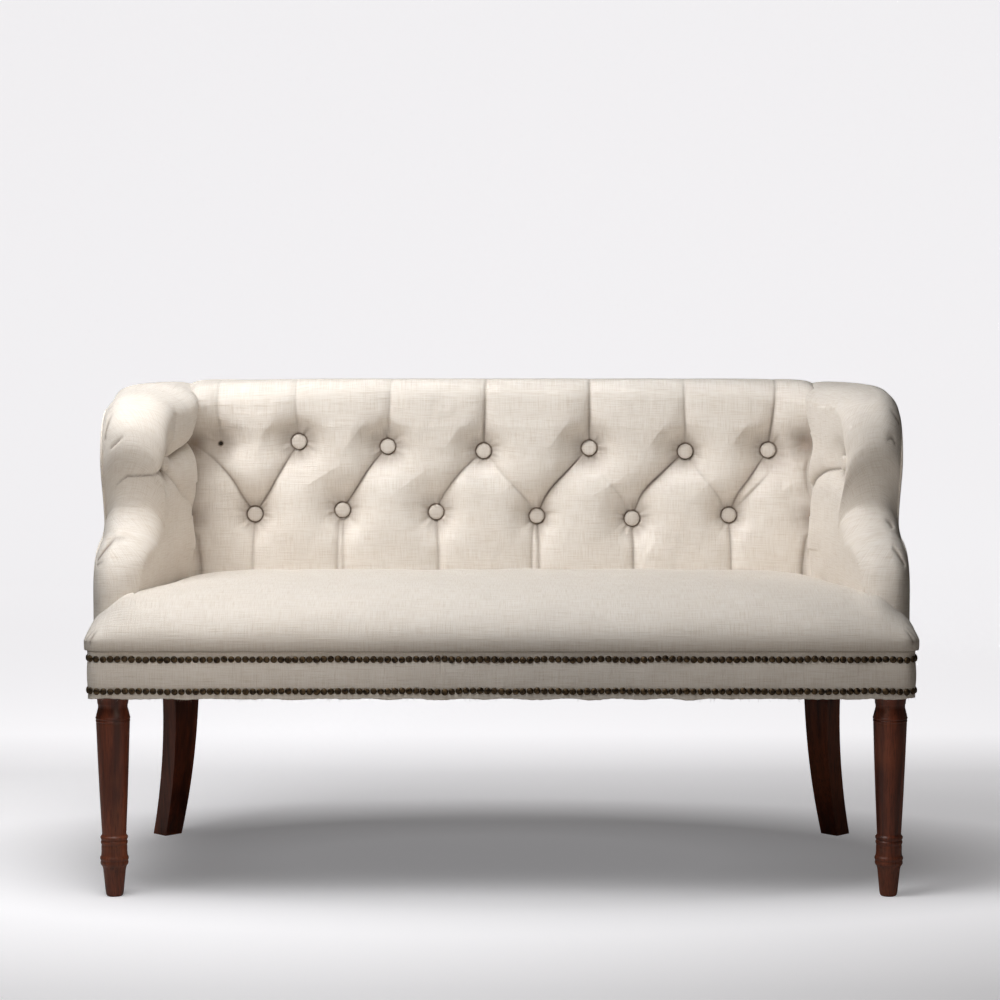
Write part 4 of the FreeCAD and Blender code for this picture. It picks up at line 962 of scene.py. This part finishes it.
x_top = np.broadcast_to(xs, y_top.shape)
z_top = WIDEST + (seat_height(x_top, y_top, front[None]) - WIDEST) * fall[None]
z_top = np.where(fall[None] > 0, z_top, limit[None])
middle_back = z_top[-1, len(xs) // 2]
print("seat: highest", round(float(z_top.max()), 1), "and at the back", round(float(middle_back), 1))

# %% Darts at the corners, the seat's rim and its mesh
side_cloth = np.r_[0, np.cumsum(np.hypot(np.diff(side_x), np.diff(side_fall) * 70.0))]
side_cloth[-3:] = side_cloth[-4] + np.array([7.0, 12.0, 16.0])
cloth_x = both_sides(side_cloth, -1)
steps = np.diff(np.concatenate([y_top[:1], y_top]), axis=0)
rises = np.diff(np.concatenate([z_top[:1], z_top]), axis=0)
cloth_y = front[None] + np.cumsum(np.hypot(steps, rises), axis=0)
ruffle = 0.9 * ripples(x_top, y_top, 140, 11) + 0.4 * ripples(x_top, y_top, 42, 12)
z_top = z_top + ruffle * ease(z_top, 412, 440)
dart = np.zeros(z_top.shape)
for side in (-1, 1):
    around = np.hypot(side * x_top - 618, y_top - SEAT_FRONT - SEAT_CORNER)
    turnings = np.arctan2(side * x_top - 618, -(y_top - SEAT_FRONT - SEAT_CORNER))
    for bearing, depth in ((0.85, 1.0), (1.12, 0.6)):
        dart = np.maximum(dart, depth * np.exp(-np.abs(turnings - bearing) * around / 2.2)
                          * ease(around, 22, 34))
z_top = z_top - 2.6 * dart * (z_top > 413)
low_y, low_z = UNDER_ROLL[::-1, :1], UNDER_ROLL[::-1, 1:]
y_rows = np.concatenate([front + low_y, y_top, [end + 3, end + 3]])
z_rows = np.concatenate([np.minimum(low_z, limit), z_top,
                         [np.minimum(z_top[-1] - 8, limit), np.full(len(xs), DECK)]])
points, faces = closed_tube(np.stack([np.broadcast_to(xs, y_rows.shape), y_rows, z_rows], -1))
cloth_y = np.concatenate([front - (WIDEST - low_z), cloth_y, [cloth_y[-1] + 8, cloth_y[-1] + 60]])
cloth = np.stack([np.broadcast_to(cloth_x, cloth_y.shape), cloth_y], -1)
cloth = np.vstack([cloth.reshape(-1, 2), cloth[0, 0], cloth[0, -1]])
# Painted shade in the darts: their folds darken towards the pleats' brown, 0.9 at a dart's deepest.
marks = np.pad(0.9 * dart, ((3, 2), (0, 0))).ravel()
seat = add_piece("crowned_seat", points, faces, linen, cloth, ("seat",), np.r_[marks, 0, 0])

# %% [markdown]
# ## The rail cover, its nails and its loose threads
#
# A band of linen is stretched round the rails between two rows of nails, and its raw lower edge hangs a
# few millimetres below the nails, with loose threads. The band is a section carried round the frame's
# plan. The nails stand at one pitch along the same plan, close enough to touch, each a small dome with
# its own tilt, as nails driven by hand have.

# %% A walk round the frame
RAIL_X, RAIL_REAR, RAIL_FRONT = 650.0, 307.5, -304.0     # the rails' outer faces
REAR_ROUND, FRONT_ROUND = 196.0, 16.0                    # the radii of their corners
UPPER_NAILS, LOWER_NAILS, NAIL_PITCH = 384.0, 333.5, 11.2


def round_plan(grow, step):
    """The frame's plan grown outwards: points every step from the left rear seam, round the front, to
    the right rear seam, and at each the way outwards. The corners' radii grow with it."""
    side, rear_y, front_y = RAIL_X + grow, RAIL_REAR + grow, RAIL_FRONT - grow
    rear, front = REAR_ROUND + grow, FRONT_ROUND + grow
    quarter = np.linspace(0, np.pi / 2, 40)
    sine, cosine = np.sin(quarter), np.cos(quarter)
    rear_arc = np.stack([side - rear + rear * sine, rear_y - rear + rear * cosine], -1)
    front_arc = np.stack([side - front + front * cosine, front_y + front - front * sine], -1)
    right = np.vstack([rear_arc, front_arc])
    line = even_line(np.vstack([right * [-1, 1], right[::-1]]), step)
    ahead = np.gradient(line, axis=0)
    out = np.stack([ahead[:, 1], -ahead[:, 0]], -1)
    return line, out / np.linalg.norm(out, axis=1)[:, None]


path, outward = round_plan(4.0, 3.0)
walk = np.r_[0, np.cumsum(np.linalg.norm(np.diff(path, axis=0), axis=1))]
print("the band is", round(walk[-1]), "mm long")

# %% The band
heights = np.r_[np.linspace(396.5, 392, 3), np.linspace(388, 326, 34), 323, 321.2]
pulled_in = sum(1.3 * np.exp(-((heights - row) / 4) ** 2) for row in (UPPER_NAILS, LOWER_NAILS))
belly = 1.6 * np.clip(np.sin((heights - LOWER_NAILS) / (UPPER_NAILS - LOWER_NAILS) * np.pi), 0, 1)
W, HH = np.meshgrid(walk, heights)
offset = (belly - pulled_in)[:, None] + 0.35 * ripples(W, HH, 60, 31) * ease(HH, 321, 345)
low_edge = ripples(W[0], W[0] * 0, 60, 32) * 0.9 + ripples(W[0], W[0] * 0, 14, 33) * 0.35
HH = HH + low_edge * ease(-HH, -334, -322)
outer_side = np.concatenate([(path[None] + outward[None] * offset[..., None]), HH[..., None]], -1)
HEM = np.array([[-0.9, 320.9], [-2.0, 321.4], [-3.6, 330], [-3.6, 396]])   # inwards, height
hem_side = np.stack([np.column_stack([path + outward * d, np.full(len(path), h) + low_edge * (h < 325)])
                     for d, h in HEM])
points, faces = closed_tube(np.concatenate([outer_side, hem_side]), flip=True)
cloth_z = np.concatenate([HH, np.broadcast_to(HEM[:, 1:], (len(HEM), len(path)))])
cloth = np.stack([np.broadcast_to(walk, cloth_z.shape), cloth_z], -1).reshape(-1, 2)
band = add_piece("rail_band", points, faces, linen, np.vstack([cloth, cloth[:2]]),
                 ("rail_cover_front", "rail_cover_side_left", "rail_cover_side_right"))


# %% Nails
NAIL = np.array([(5.5, -0.4), (5.6, 0.5), (4.9, 1.9), (3.4, 2.9), (1.5, 3.3)])   # radius, standout
NAIL_TOP, ROUND_NAIL = 3.4, 10


def nail_row(name, height, seed, node):
    """One dome per nail along the plan. Each is a little off the line, off its size and off its square:
    place = spot + size * (cos, sin) * radius, and standout + lean * place."""
    rng = np.random.default_rng(seed)
    spots, out = round_plan(3.4, NAIL_PITCH)
    spots, out = spots[1:-1], out[1:-1]
    count = len(spots)
    angles = np.linspace(0, 2 * np.pi, ROUND_NAIL, endpoint=False)
    ahead = np.stack([-out[:, 1], out[:, 0]], -1)
    line_sway = 0.7 * ripples(np.arange(count) * NAIL_PITCH, np.zeros(count), 90, seed)
    z = height + line_sway + rng.normal(0, 0.25, count)
    size = rng.uniform(0.95, 1.04, count)[:, None]
    lean = rng.normal(0, 0.05, (count, 2))
    flat = np.r_[(NAIL[:, :1] * np.cos(angles)).ravel(), 0]
    high = np.r_[(NAIL[:, :1] * np.sin(angles)).ravel(), 0]
    proud = np.r_[np.repeat(NAIL[:, 1], ROUND_NAIL), NAIL_TOP]
    lift = proud + lean[:, :1] * flat + lean[:, 1:] * high
    slide = rng.normal(0, 0.15, (count, 1))
    xy = spots[:, None] + ahead[:, None] * (size * flat + slide)[..., None] + out[:, None] * lift[..., None]
    points = np.concatenate([xy, (z[:, None] + size * high)[..., None]], -1)
    first = np.arange(count)[:, None, None] * points.shape[1]
    ring, last = np.arange(ROUND_NAIL), (len(NAIL) - 1) * ROUND_NAIL
    quads = (grid_faces(len(NAIL), ROUND_NAIL, True)[None] + first).reshape(-1, 4)
    tips = (fan_faces(ring + last, last + ROUND_NAIL)[None] + first).reshape(-1, 3)
    backs = (ring[None, ::-1] + first[:, 0]).reshape(-1, ROUND_NAIL)
    print(name, "has", count, "nails")
    add_piece(name, points.reshape(-1, 3), [quads, tips, backs], browned_brass, None, (node,))


nail_row("upper_nails", UPPER_NAILS, 51, "nail_trim_upper")
nail_row("lower_nails", LOWER_NAILS, 52, "nail_trim_lower")


# %% Loose threads of the raw edge
def loose_threads(count, seed):
    """Thin three-sided threads that hang from the band's edge, each a short parabola to one side. A
    third of them hang in nine clumps on the front."""
    rng = np.random.default_rng(seed)
    start = rng.uniform(0.22, 0.78, count)
    clumps = rng.uniform(0.3, 0.62, 9)
    start[:count // 3] = rng.choice(clumps, count // 3) + rng.normal(0, 0.004, count // 3)
    along_band = start * walk[-1]
    base = np.stack([np.interp(along_band, walk, path[:, i]) for i in (0, 1)], -1)
    out = np.stack([np.interp(along_band, walk, outward[:, i]) for i in (0, 1)], -1)
    length, drift = rng.uniform(2.0, 7.5, count), rng.normal(0, 2.6, count)
    t = np.linspace(0, 1, 6)
    ahead = np.stack([-out[:, 1], out[:, 0]], -1)
    curl = rng.normal(0, 1.2, count)
    xy = base[:, None] - out[:, None] * 1.2 + ahead[:, None] * (drift[:, None] * t ** 2)[..., None] \
        + out[:, None] * (curl[:, None] * t ** 2)[..., None]
    z = 323.0 - length[:, None] * t
    spine = np.concatenate([xy, z[..., None]], -1)
    angles = np.array([0, 2.1, 4.2])
    section = np.stack([np.cos(angles), np.sin(angles), 0 * angles], -1)
    thick = 0.22 * (1 - 0.5 * t)
    tube = (spine[:, :, None] + thick[:, None, None] * section).reshape(-1, 3)
    first = np.arange(count)[:, None, None] * len(t) * len(angles)
    quads = (grid_faces(len(t), len(angles), True)[None] + first).reshape(-1, 4)
    caps = (np.array([[2, 1, 0], [15, 16, 17]])[None] + first).reshape(-1, 3)
    add_piece("loose_threads", tube, [quads, caps], linen, tube[:, [0, 2]])


loose_threads(170, 61)

# %% [markdown]
# ## The outside covers
#
# Behind, the linen is stretched flat over the frame. The outside of each wing is one panel that follows
# the wing's outline, runs round the rounded rear corner and meets the outside back at an upright seam.
# The panel is worked out flat, on a map of distance along the rail and height, and then bent round the
# corner: past the corner's centre line the distance becomes an angle.

# %% Outside wings
PANEL_INSET = 35.0                # how far inside the wing's outline the panel ends


def bend_round(s, out):
    """The place (x, y) of a distance s along the right side: straight to the corner, then on its circle."""
    angle = np.clip((s - CORNER_Y) / CORNER_R, 0, None)
    x = np.where(s < CORNER_Y, FACE_X + out, CORNER_X + (CORNER_R + out) * np.cos(angle))
    y = np.where(s < CORNER_Y, s, CORNER_Y + (CORNER_R + out) * np.sin(angle))
    return x, y


def bent_sheet(flat, out):
    """Points (s, z) of the flat panel, bent round the frame at a distance out from it."""
    x, y = bend_round(flat[..., 0], out)
    return np.stack([x, y, flat[..., 1]], -1)


def outside_wing(side, name, node):
    """A ring round the flat panel, drawn in to its centre, slightly full, with its edge turned under."""
    seam_s, low_z, behind = CORNER_Y + CORNER_R * np.pi / 2 - 0.6, DECK + 0.6, -2.5
    shown = (outline[:, 0] < 60) & (outline[:, 1] > DECK + 0.5)
    front = outline[shown] + ray[shown] * PANEL_INSET
    front = front[front[:, 1] > DECK + 1]
    start = np.array([[front[0, 0], low_z]])
    top_s = np.linspace(64, seam_s, 60)
    top = np.stack([top_s, np.interp(top_s, [64, 120, 300, seam_s], [767, 776, 779, 779])], -1)
    line = even_line(np.vstack([start, front, top, [[seam_s, low_z]], start]), 5.0)[:-1]
    middle = np.array([70.0, 500.0])
    shares = np.r_[np.linspace(0, 0.93, 26)[1:], 0.955, 0.975, 0.99, 1.0][:, None]
    flat = middle + (line - middle) * shares[..., None]
    flat[..., 0] = np.minimum(flat[..., 0], seam_s)
    full = 1.6 * np.sqrt(np.clip(1 - shares ** 8, 0, 1)) + 0.5 * ripples(flat[..., 0], flat[..., 1], 120, 81)
    full = full * np.clip((1 - shares) / 0.02, 0, 1) ** 0.5 + 0.2
    rings = np.concatenate([bent_sheet(flat, full), bent_sheet(line, behind)[None]])
    poles = [bent_sheet(middle, 1.8), bent_sheet(middle, behind)]
    points = np.vstack([rings.reshape(-1, 3), poles]) * [side, 1, 1]
    cloth = np.vstack([flat.reshape(-1, 2), line, middle, middle])
    cover = add_piece(name, points, ring_faces(*rings.shape[:2], flip=side < 0), linen, cloth,
                      (node,))


outside_wing(-1, "outside_wing_cover_left", "outside_wing_left")
outside_wing(1, "outside_wing_cover_right", "outside_wing_right")

# %% Outside back
PANEL_X, PANEL_LOW, PANEL_TOP = 453.4, 322.0, 776.0
COLUMNS, ROWS = 150, 90
XX, ZZ = np.meshgrid(np.linspace(-PANEL_X, PANEL_X, COLUMNS), np.linspace(PANEL_LOW, PANEL_TOP, ROWS))
rim = np.minimum.reduce([PANEL_X - np.abs(XX), ZZ - PANEL_LOW, PANEL_TOP - ZZ])
full = 0.3 + 2.2 * (1 - np.exp(-rim / 7.0)) + 0.6 * ripples(XX, ZZ, 150, 91) * (1 - np.exp(-rim / 30.0))
outer_wall = np.stack([XX, 309.6 + full, ZZ], -1)
inner_wall = np.stack([XX, XX * 0 + 308.2, ZZ], -1)
sheet = np.concatenate([outer_wall.reshape(-1, 3), inner_wall.reshape(-1, 3)])
number = np.arange(XX.size).reshape(ROWS, COLUMNS)
rim_ring = np.r_[number[0], number[1:, -1], number[-1, -2::-1], number[-2:0:-1, 0]]
rim_next = np.roll(rim_ring, -1)
rim_faces = np.stack([rim_ring, rim_next, rim_next + XX.size, rim_ring + XX.size], -1)
outside_back = add_piece("outside_back_cover", sheet,
                         [grid_faces(ROWS, COLUMNS, flip=True), grid_faces(ROWS, COLUMNS, first=XX.size),
                          rim_faces], linen, sheet[:, [0, 2]], ("outside_back",))

# %% [markdown]
# ## Turned front legs
#
# A front leg is turned from a square blank: under the rail a short flare, a collar of two thin rings, a
# long taper, then a bead, a neck and a heavier ring above the foot. A turning is one profile spun round
# an axis, so it is written as radius against height and carried round in 72 steps. The square block
# inside the rails is the same ring with its radius divided by (|cos|^12 + |sin|^12)^(1/12), which is a
# square with slightly rounded corners.

# %% Legs
LEG = np.array([  # height, radius
    (324, 28.2), (321, 27.4), (318.5, 25.4), (314, 24.7), (309.6, 24.4), (307.6, 23.5), (303, 23.4),
    (297, 25.0), (290.4, 26.6), (289.4, 26.4), (288.6, 26.9), (287.4, 27.6), (286, 27.7), (284.9, 26.9),
    (284.2, 26.1), (283.4, 26.9), (282.4, 27.4), (281, 27.3), (280.2, 26.4), (278, 26.7), (250, 25.7),
    (224, 24.8), (160, 22.2), (103, 19.4), (100.2, 19.2), (98.8, 19.6), (97.4, 20.4), (96.4, 21.7),
    (94.8, 22.0), (93, 21.7), (91.2, 20.6), (90.2, 19.9), (89.4, 20.7), (87.8, 21.5), (85.4, 21.3),
    (83.4, 20.3), (82, 20.1), (79.6, 20.6), (72.7, 20.4), (66, 20.9), (64.4, 21.6), (62.6, 22.7),
    (60.2, 22.8), (58.4, 22.0), (57.2, 21.4), (56, 21.9), (54, 22.3), (51.6, 21.9), (50, 20.8),
    (48.2, 19.3), (45, 18.4), (42, 17.9), (24, 16.1), (5.4, 14.2), (2.6, 13.6), (0.6, 12.4), (0, 11.4)])
LEG_X, LEG_Y = 617.0, -271.0
HALF_BLOCK, BLOCK_TOP = 29.6, 391.6
BLOCK = ((0.99, 324.5), (1.0, 326), (1.0, 390), (0.97, BLOCK_TOP))     # share of its width, height


def front_leg(side, name, node):
    """Rings of the profile, a hair out of round as hand turning is, and over them the square block."""
    line = even_line(LEG[:, ::-1], 0.9)
    angles = np.linspace(0, 2 * np.pi, 72, endpoint=False)
    radius, height = line[:, :1], line[:, 1:]
    wobble = 1 + 0.004 * np.sin(3 * angles + height * 0.02)
    turned = np.stack([radius * np.cos(angles) * wobble, radius * np.sin(angles) * wobble,
                       height + 0 * angles], -1)[::-1]
    square = HALF_BLOCK / (np.abs(np.cos(angles)) ** 12 + np.abs(np.sin(angles)) ** 12) ** (1 / 12)
    block = np.stack([np.stack([square * k * np.cos(angles), square * k * np.sin(angles), angles * 0 + z], -1)
                      for k, z in BLOCK])
    rings = np.concatenate([turned, block])
    points = np.vstack([rings.reshape(-1, 3), [[0, 0, 0], [0, 0, BLOCK_TOP]]]) + [side * LEG_X, LEG_Y, 0]
    add_piece(name, points, ring_faces(*rings.shape[:2]), mahogany, None, (node,))


front_leg(-1, "turned_leg_left", "front_leg_left")
front_leg(1, "turned_leg_right", "front_leg_right")

# %% [markdown]
# ## The rest of the frame
#
# The rear legs, rails, boards, webbing and the cloth under the seat have their true shapes in the frame
# already. They only need a finish, so each gets the material of its slot.

# %% Finishes for the frame's own pieces
FINISH = {"frame_wood": beech, "leg_wood": mahogany, "webbing": jute, "hessian": hessian,
          "dust_cloth": black_cloth, "linen": linen, "nails": browned_brass}
for part in frame["record"]["subparts"]:
    node = frame["nodes"][part["node"]]
    node.data.materials.clear()
    node.data.materials.append(FINISH[part["material_slot"]])
print("finished", len(frame["nodes"]), "frame pieces")

# %% [markdown]
# ## Floor, light and camera
#
# The settee stands in a plain pale studio. The floor curves up behind into the backdrop, so there is no
# horizon. Two soft lamps overhead light the seat and the buttons from above and leave the rail's front
# in half shade. A low wide beam from the front lifts the top of the back, and two small warm lights do
# the same for the arms. A photographer's paper is lit by lamps of its own, out of the picture. Here the
# paper glows a little instead, for the camera only, so it whitens the ground and lights nothing.

# %% Studio paper
WALL_Y, SWEEP_R, PAPER = 5800.0, 1500.0, 9000.0     # mm: the wall, the curve below it, the paper's reach
PAPER_FOR_LIGHT, PAPER_SEEN = (0.62, 0.585, 0.55, 1), (0.86, 0.855, 0.875, 1)
GLOW_COLOUR = (0.985, 0.975, 1.0, 1)
GLOW_NEAR, GLOW_FAR = 0.15, 0.815
OVAL_X, OVAL_Y, OVAL_MIDDLE = 0.66, 0.36, 0.02      # metres: the settee's own oval on the floor


def paper_glow(tree):
    """Glow = near + (far - near) * the largest of three shares: behind, which grows with Y to the curve;
    beside, outside the settee's oval; and a little under it. Beside and under are painted light that shapes
    the settee's shadow on the floor. Then times the camera ray's 0 or 1."""
    place = put(tree, "ShaderNodeSeparateXYZ")
    tree.links.new(put(tree, "ShaderNodeTexCoord").outputs["Object"], place.inputs[0])
    x, y = place.outputs[0], place.outputs[1]
    across = math_of(tree, "POWER", math_of(tree, "DIVIDE", x, OVAL_X), 2)
    along_y = math_of(tree, "DIVIDE", math_of(tree, "SUBTRACT", y, OVAL_MIDDLE), OVAL_Y)
    oval = math_of(tree, "SQRT", math_of(tree, "ADD", across, math_of(tree, "POWER", along_y, 2)), 0)
    # Painted light in the settee's shadow: up to 0.11 more glow under its oval, which makes the shadow paler.
    under = ranged(tree, oval, 0.55, 1.2, 0.11, 0.0)
    beside = math_of(tree, "MULTIPLY", ranged(tree, oval, 0.95, 1.6), ranged(tree, y, -0.9, -0.25))
    behind = math_of(tree, "ADD", ranged(tree, y, 0.3, 1.35, 0.0, 0.84),
                     ranged(tree, y, 1.35, 4.0, 0.0, 0.16))
    share = math_of(tree, "MAXIMUM", math_of(tree, "MAXIMUM", behind, under),
                    math_of(tree, "MULTIPLY", beside, 0.45))
    seen = put(tree, "ShaderNodeLightPath").outputs["Is Camera Ray"]
    return seen, math_of(tree, "MULTIPLY", ranged(tree, share, 0.0, 1.0, GLOW_NEAR, GLOW_FAR), seen)


def studio_sweep():
    """Floor, quarter circle and wall as one profile carried along X."""
    quarter = np.linspace(0, np.pi / 2, 30)
    curve = np.stack([WALL_Y - SWEEP_R + SWEEP_R * np.sin(quarter), SWEEP_R - SWEEP_R * np.cos(quarter)], -1)
    profile = np.vstack([[(-PAPER, 0)], curve, [(WALL_Y, PAPER)]])
    points = np.array([(x, y, z) for y, z in profile for x in (-PAPER, PAPER)])
    mesh = bpy.data.meshes.new("studio")
    mesh.from_pydata((points * MM).tolist(), [], grid_faces(len(profile), 2).tolist())
    mesh.shade_smooth()
    sweep = bpy.data.objects.new("studio", mesh)
    bpy.context.scene.collection.objects.link(sweep)
    material, tree, shader = new_material("studio_paper", 0.95, 0.1)
    seen, glow = paper_glow(tree)
    tree.links.new(blended(tree, seen, PAPER_FOR_LIGHT, PAPER_SEEN), shader.inputs["Base Color"])
    tree.links.new(glow, shader.inputs["Emission Strength"])
    shader.inputs["Emission Color"].default_value = GLOW_COLOUR
    mesh.materials.append(material)


studio_sweep()
print("studio paper laid")

# %% Lamps
WARM = (1.0, 0.86, 0.72)
AIR_COLOUR, AIR_STRENGTH = (1.0, 0.92, 0.82, 1), 0.05


def area_lamp(name, place, aim, size, power, colour=(1, 1, 1), spread=180):
    """A square soft lamp at a place in metres that looks at another place. Spread is in degrees."""
    lamp = bpy.data.lights.new(name, "AREA")
    lamp.size, lamp.energy, lamp.color = size, power, colour
    lamp.spread = math.radians(spread)
    holder = bpy.data.objects.new(name, lamp)
    holder.location = place
    towards = Vector(aim) - Vector(place)
    holder.rotation_euler = towards.to_track_quat("-Z", "Y").to_euler()
    bpy.context.scene.collection.objects.link(holder)
    return lamp


area_lamp("overhead", (-0.5, -0.45, 1.9), (-0.1, 0.0, 0.45), 1.1, 14.5)
area_lamp("overhead_front", (-0.8, -0.9, 2.3), (-0.1, 0.0, 0.45), 1.3, 20.5)
beam = area_lamp("beam", (-1.0, -2.6, 1.75), (-0.1, 0.1, 0.78), 1.5, 0.78, spread=18)
beam.shape = "RECTANGLE"
beam.size_y = 0.3
for name, lit_x, power in (("left_arm_light", -0.60, 0.18), ("right_arm_light", 0.62, 0.08)):
    area_lamp(name, (-2.0 * lit_x, -2.7, 1.0), (lit_x, -0.1, 0.48), 0.5, power, WARM, spread=14)
world = bpy.data.worlds.new("studio_air")
bpy.context.scene.world = world
world.use_nodes = True
air = world.node_tree.nodes["Background"].inputs
air["Color"].default_value, air["Strength"].default_value = AIR_COLOUR, AIR_STRENGTH
print("studio lit")

# %% Camera
EYE, LOOK_DOWN, LENS = (-0.0025, -5.053, 1.026), 4.70, 109.44     # metres, degrees, mm
camera_data = bpy.data.cameras.new("camera")
camera_data.lens = LENS
camera_data.sensor_width = 36.0
camera = bpy.data.objects.new("camera", camera_data)
camera.location = EYE
camera.rotation_euler = (math.radians(90 - LOOK_DOWN), 0, 0)
bpy.context.scene.collection.objects.link(camera)
bpy.context.scene.camera = camera
bpy.context.scene.view_settings.view_transform = "Standard"
print("camera at", tuple(round(v, 3) for v in camera.location))
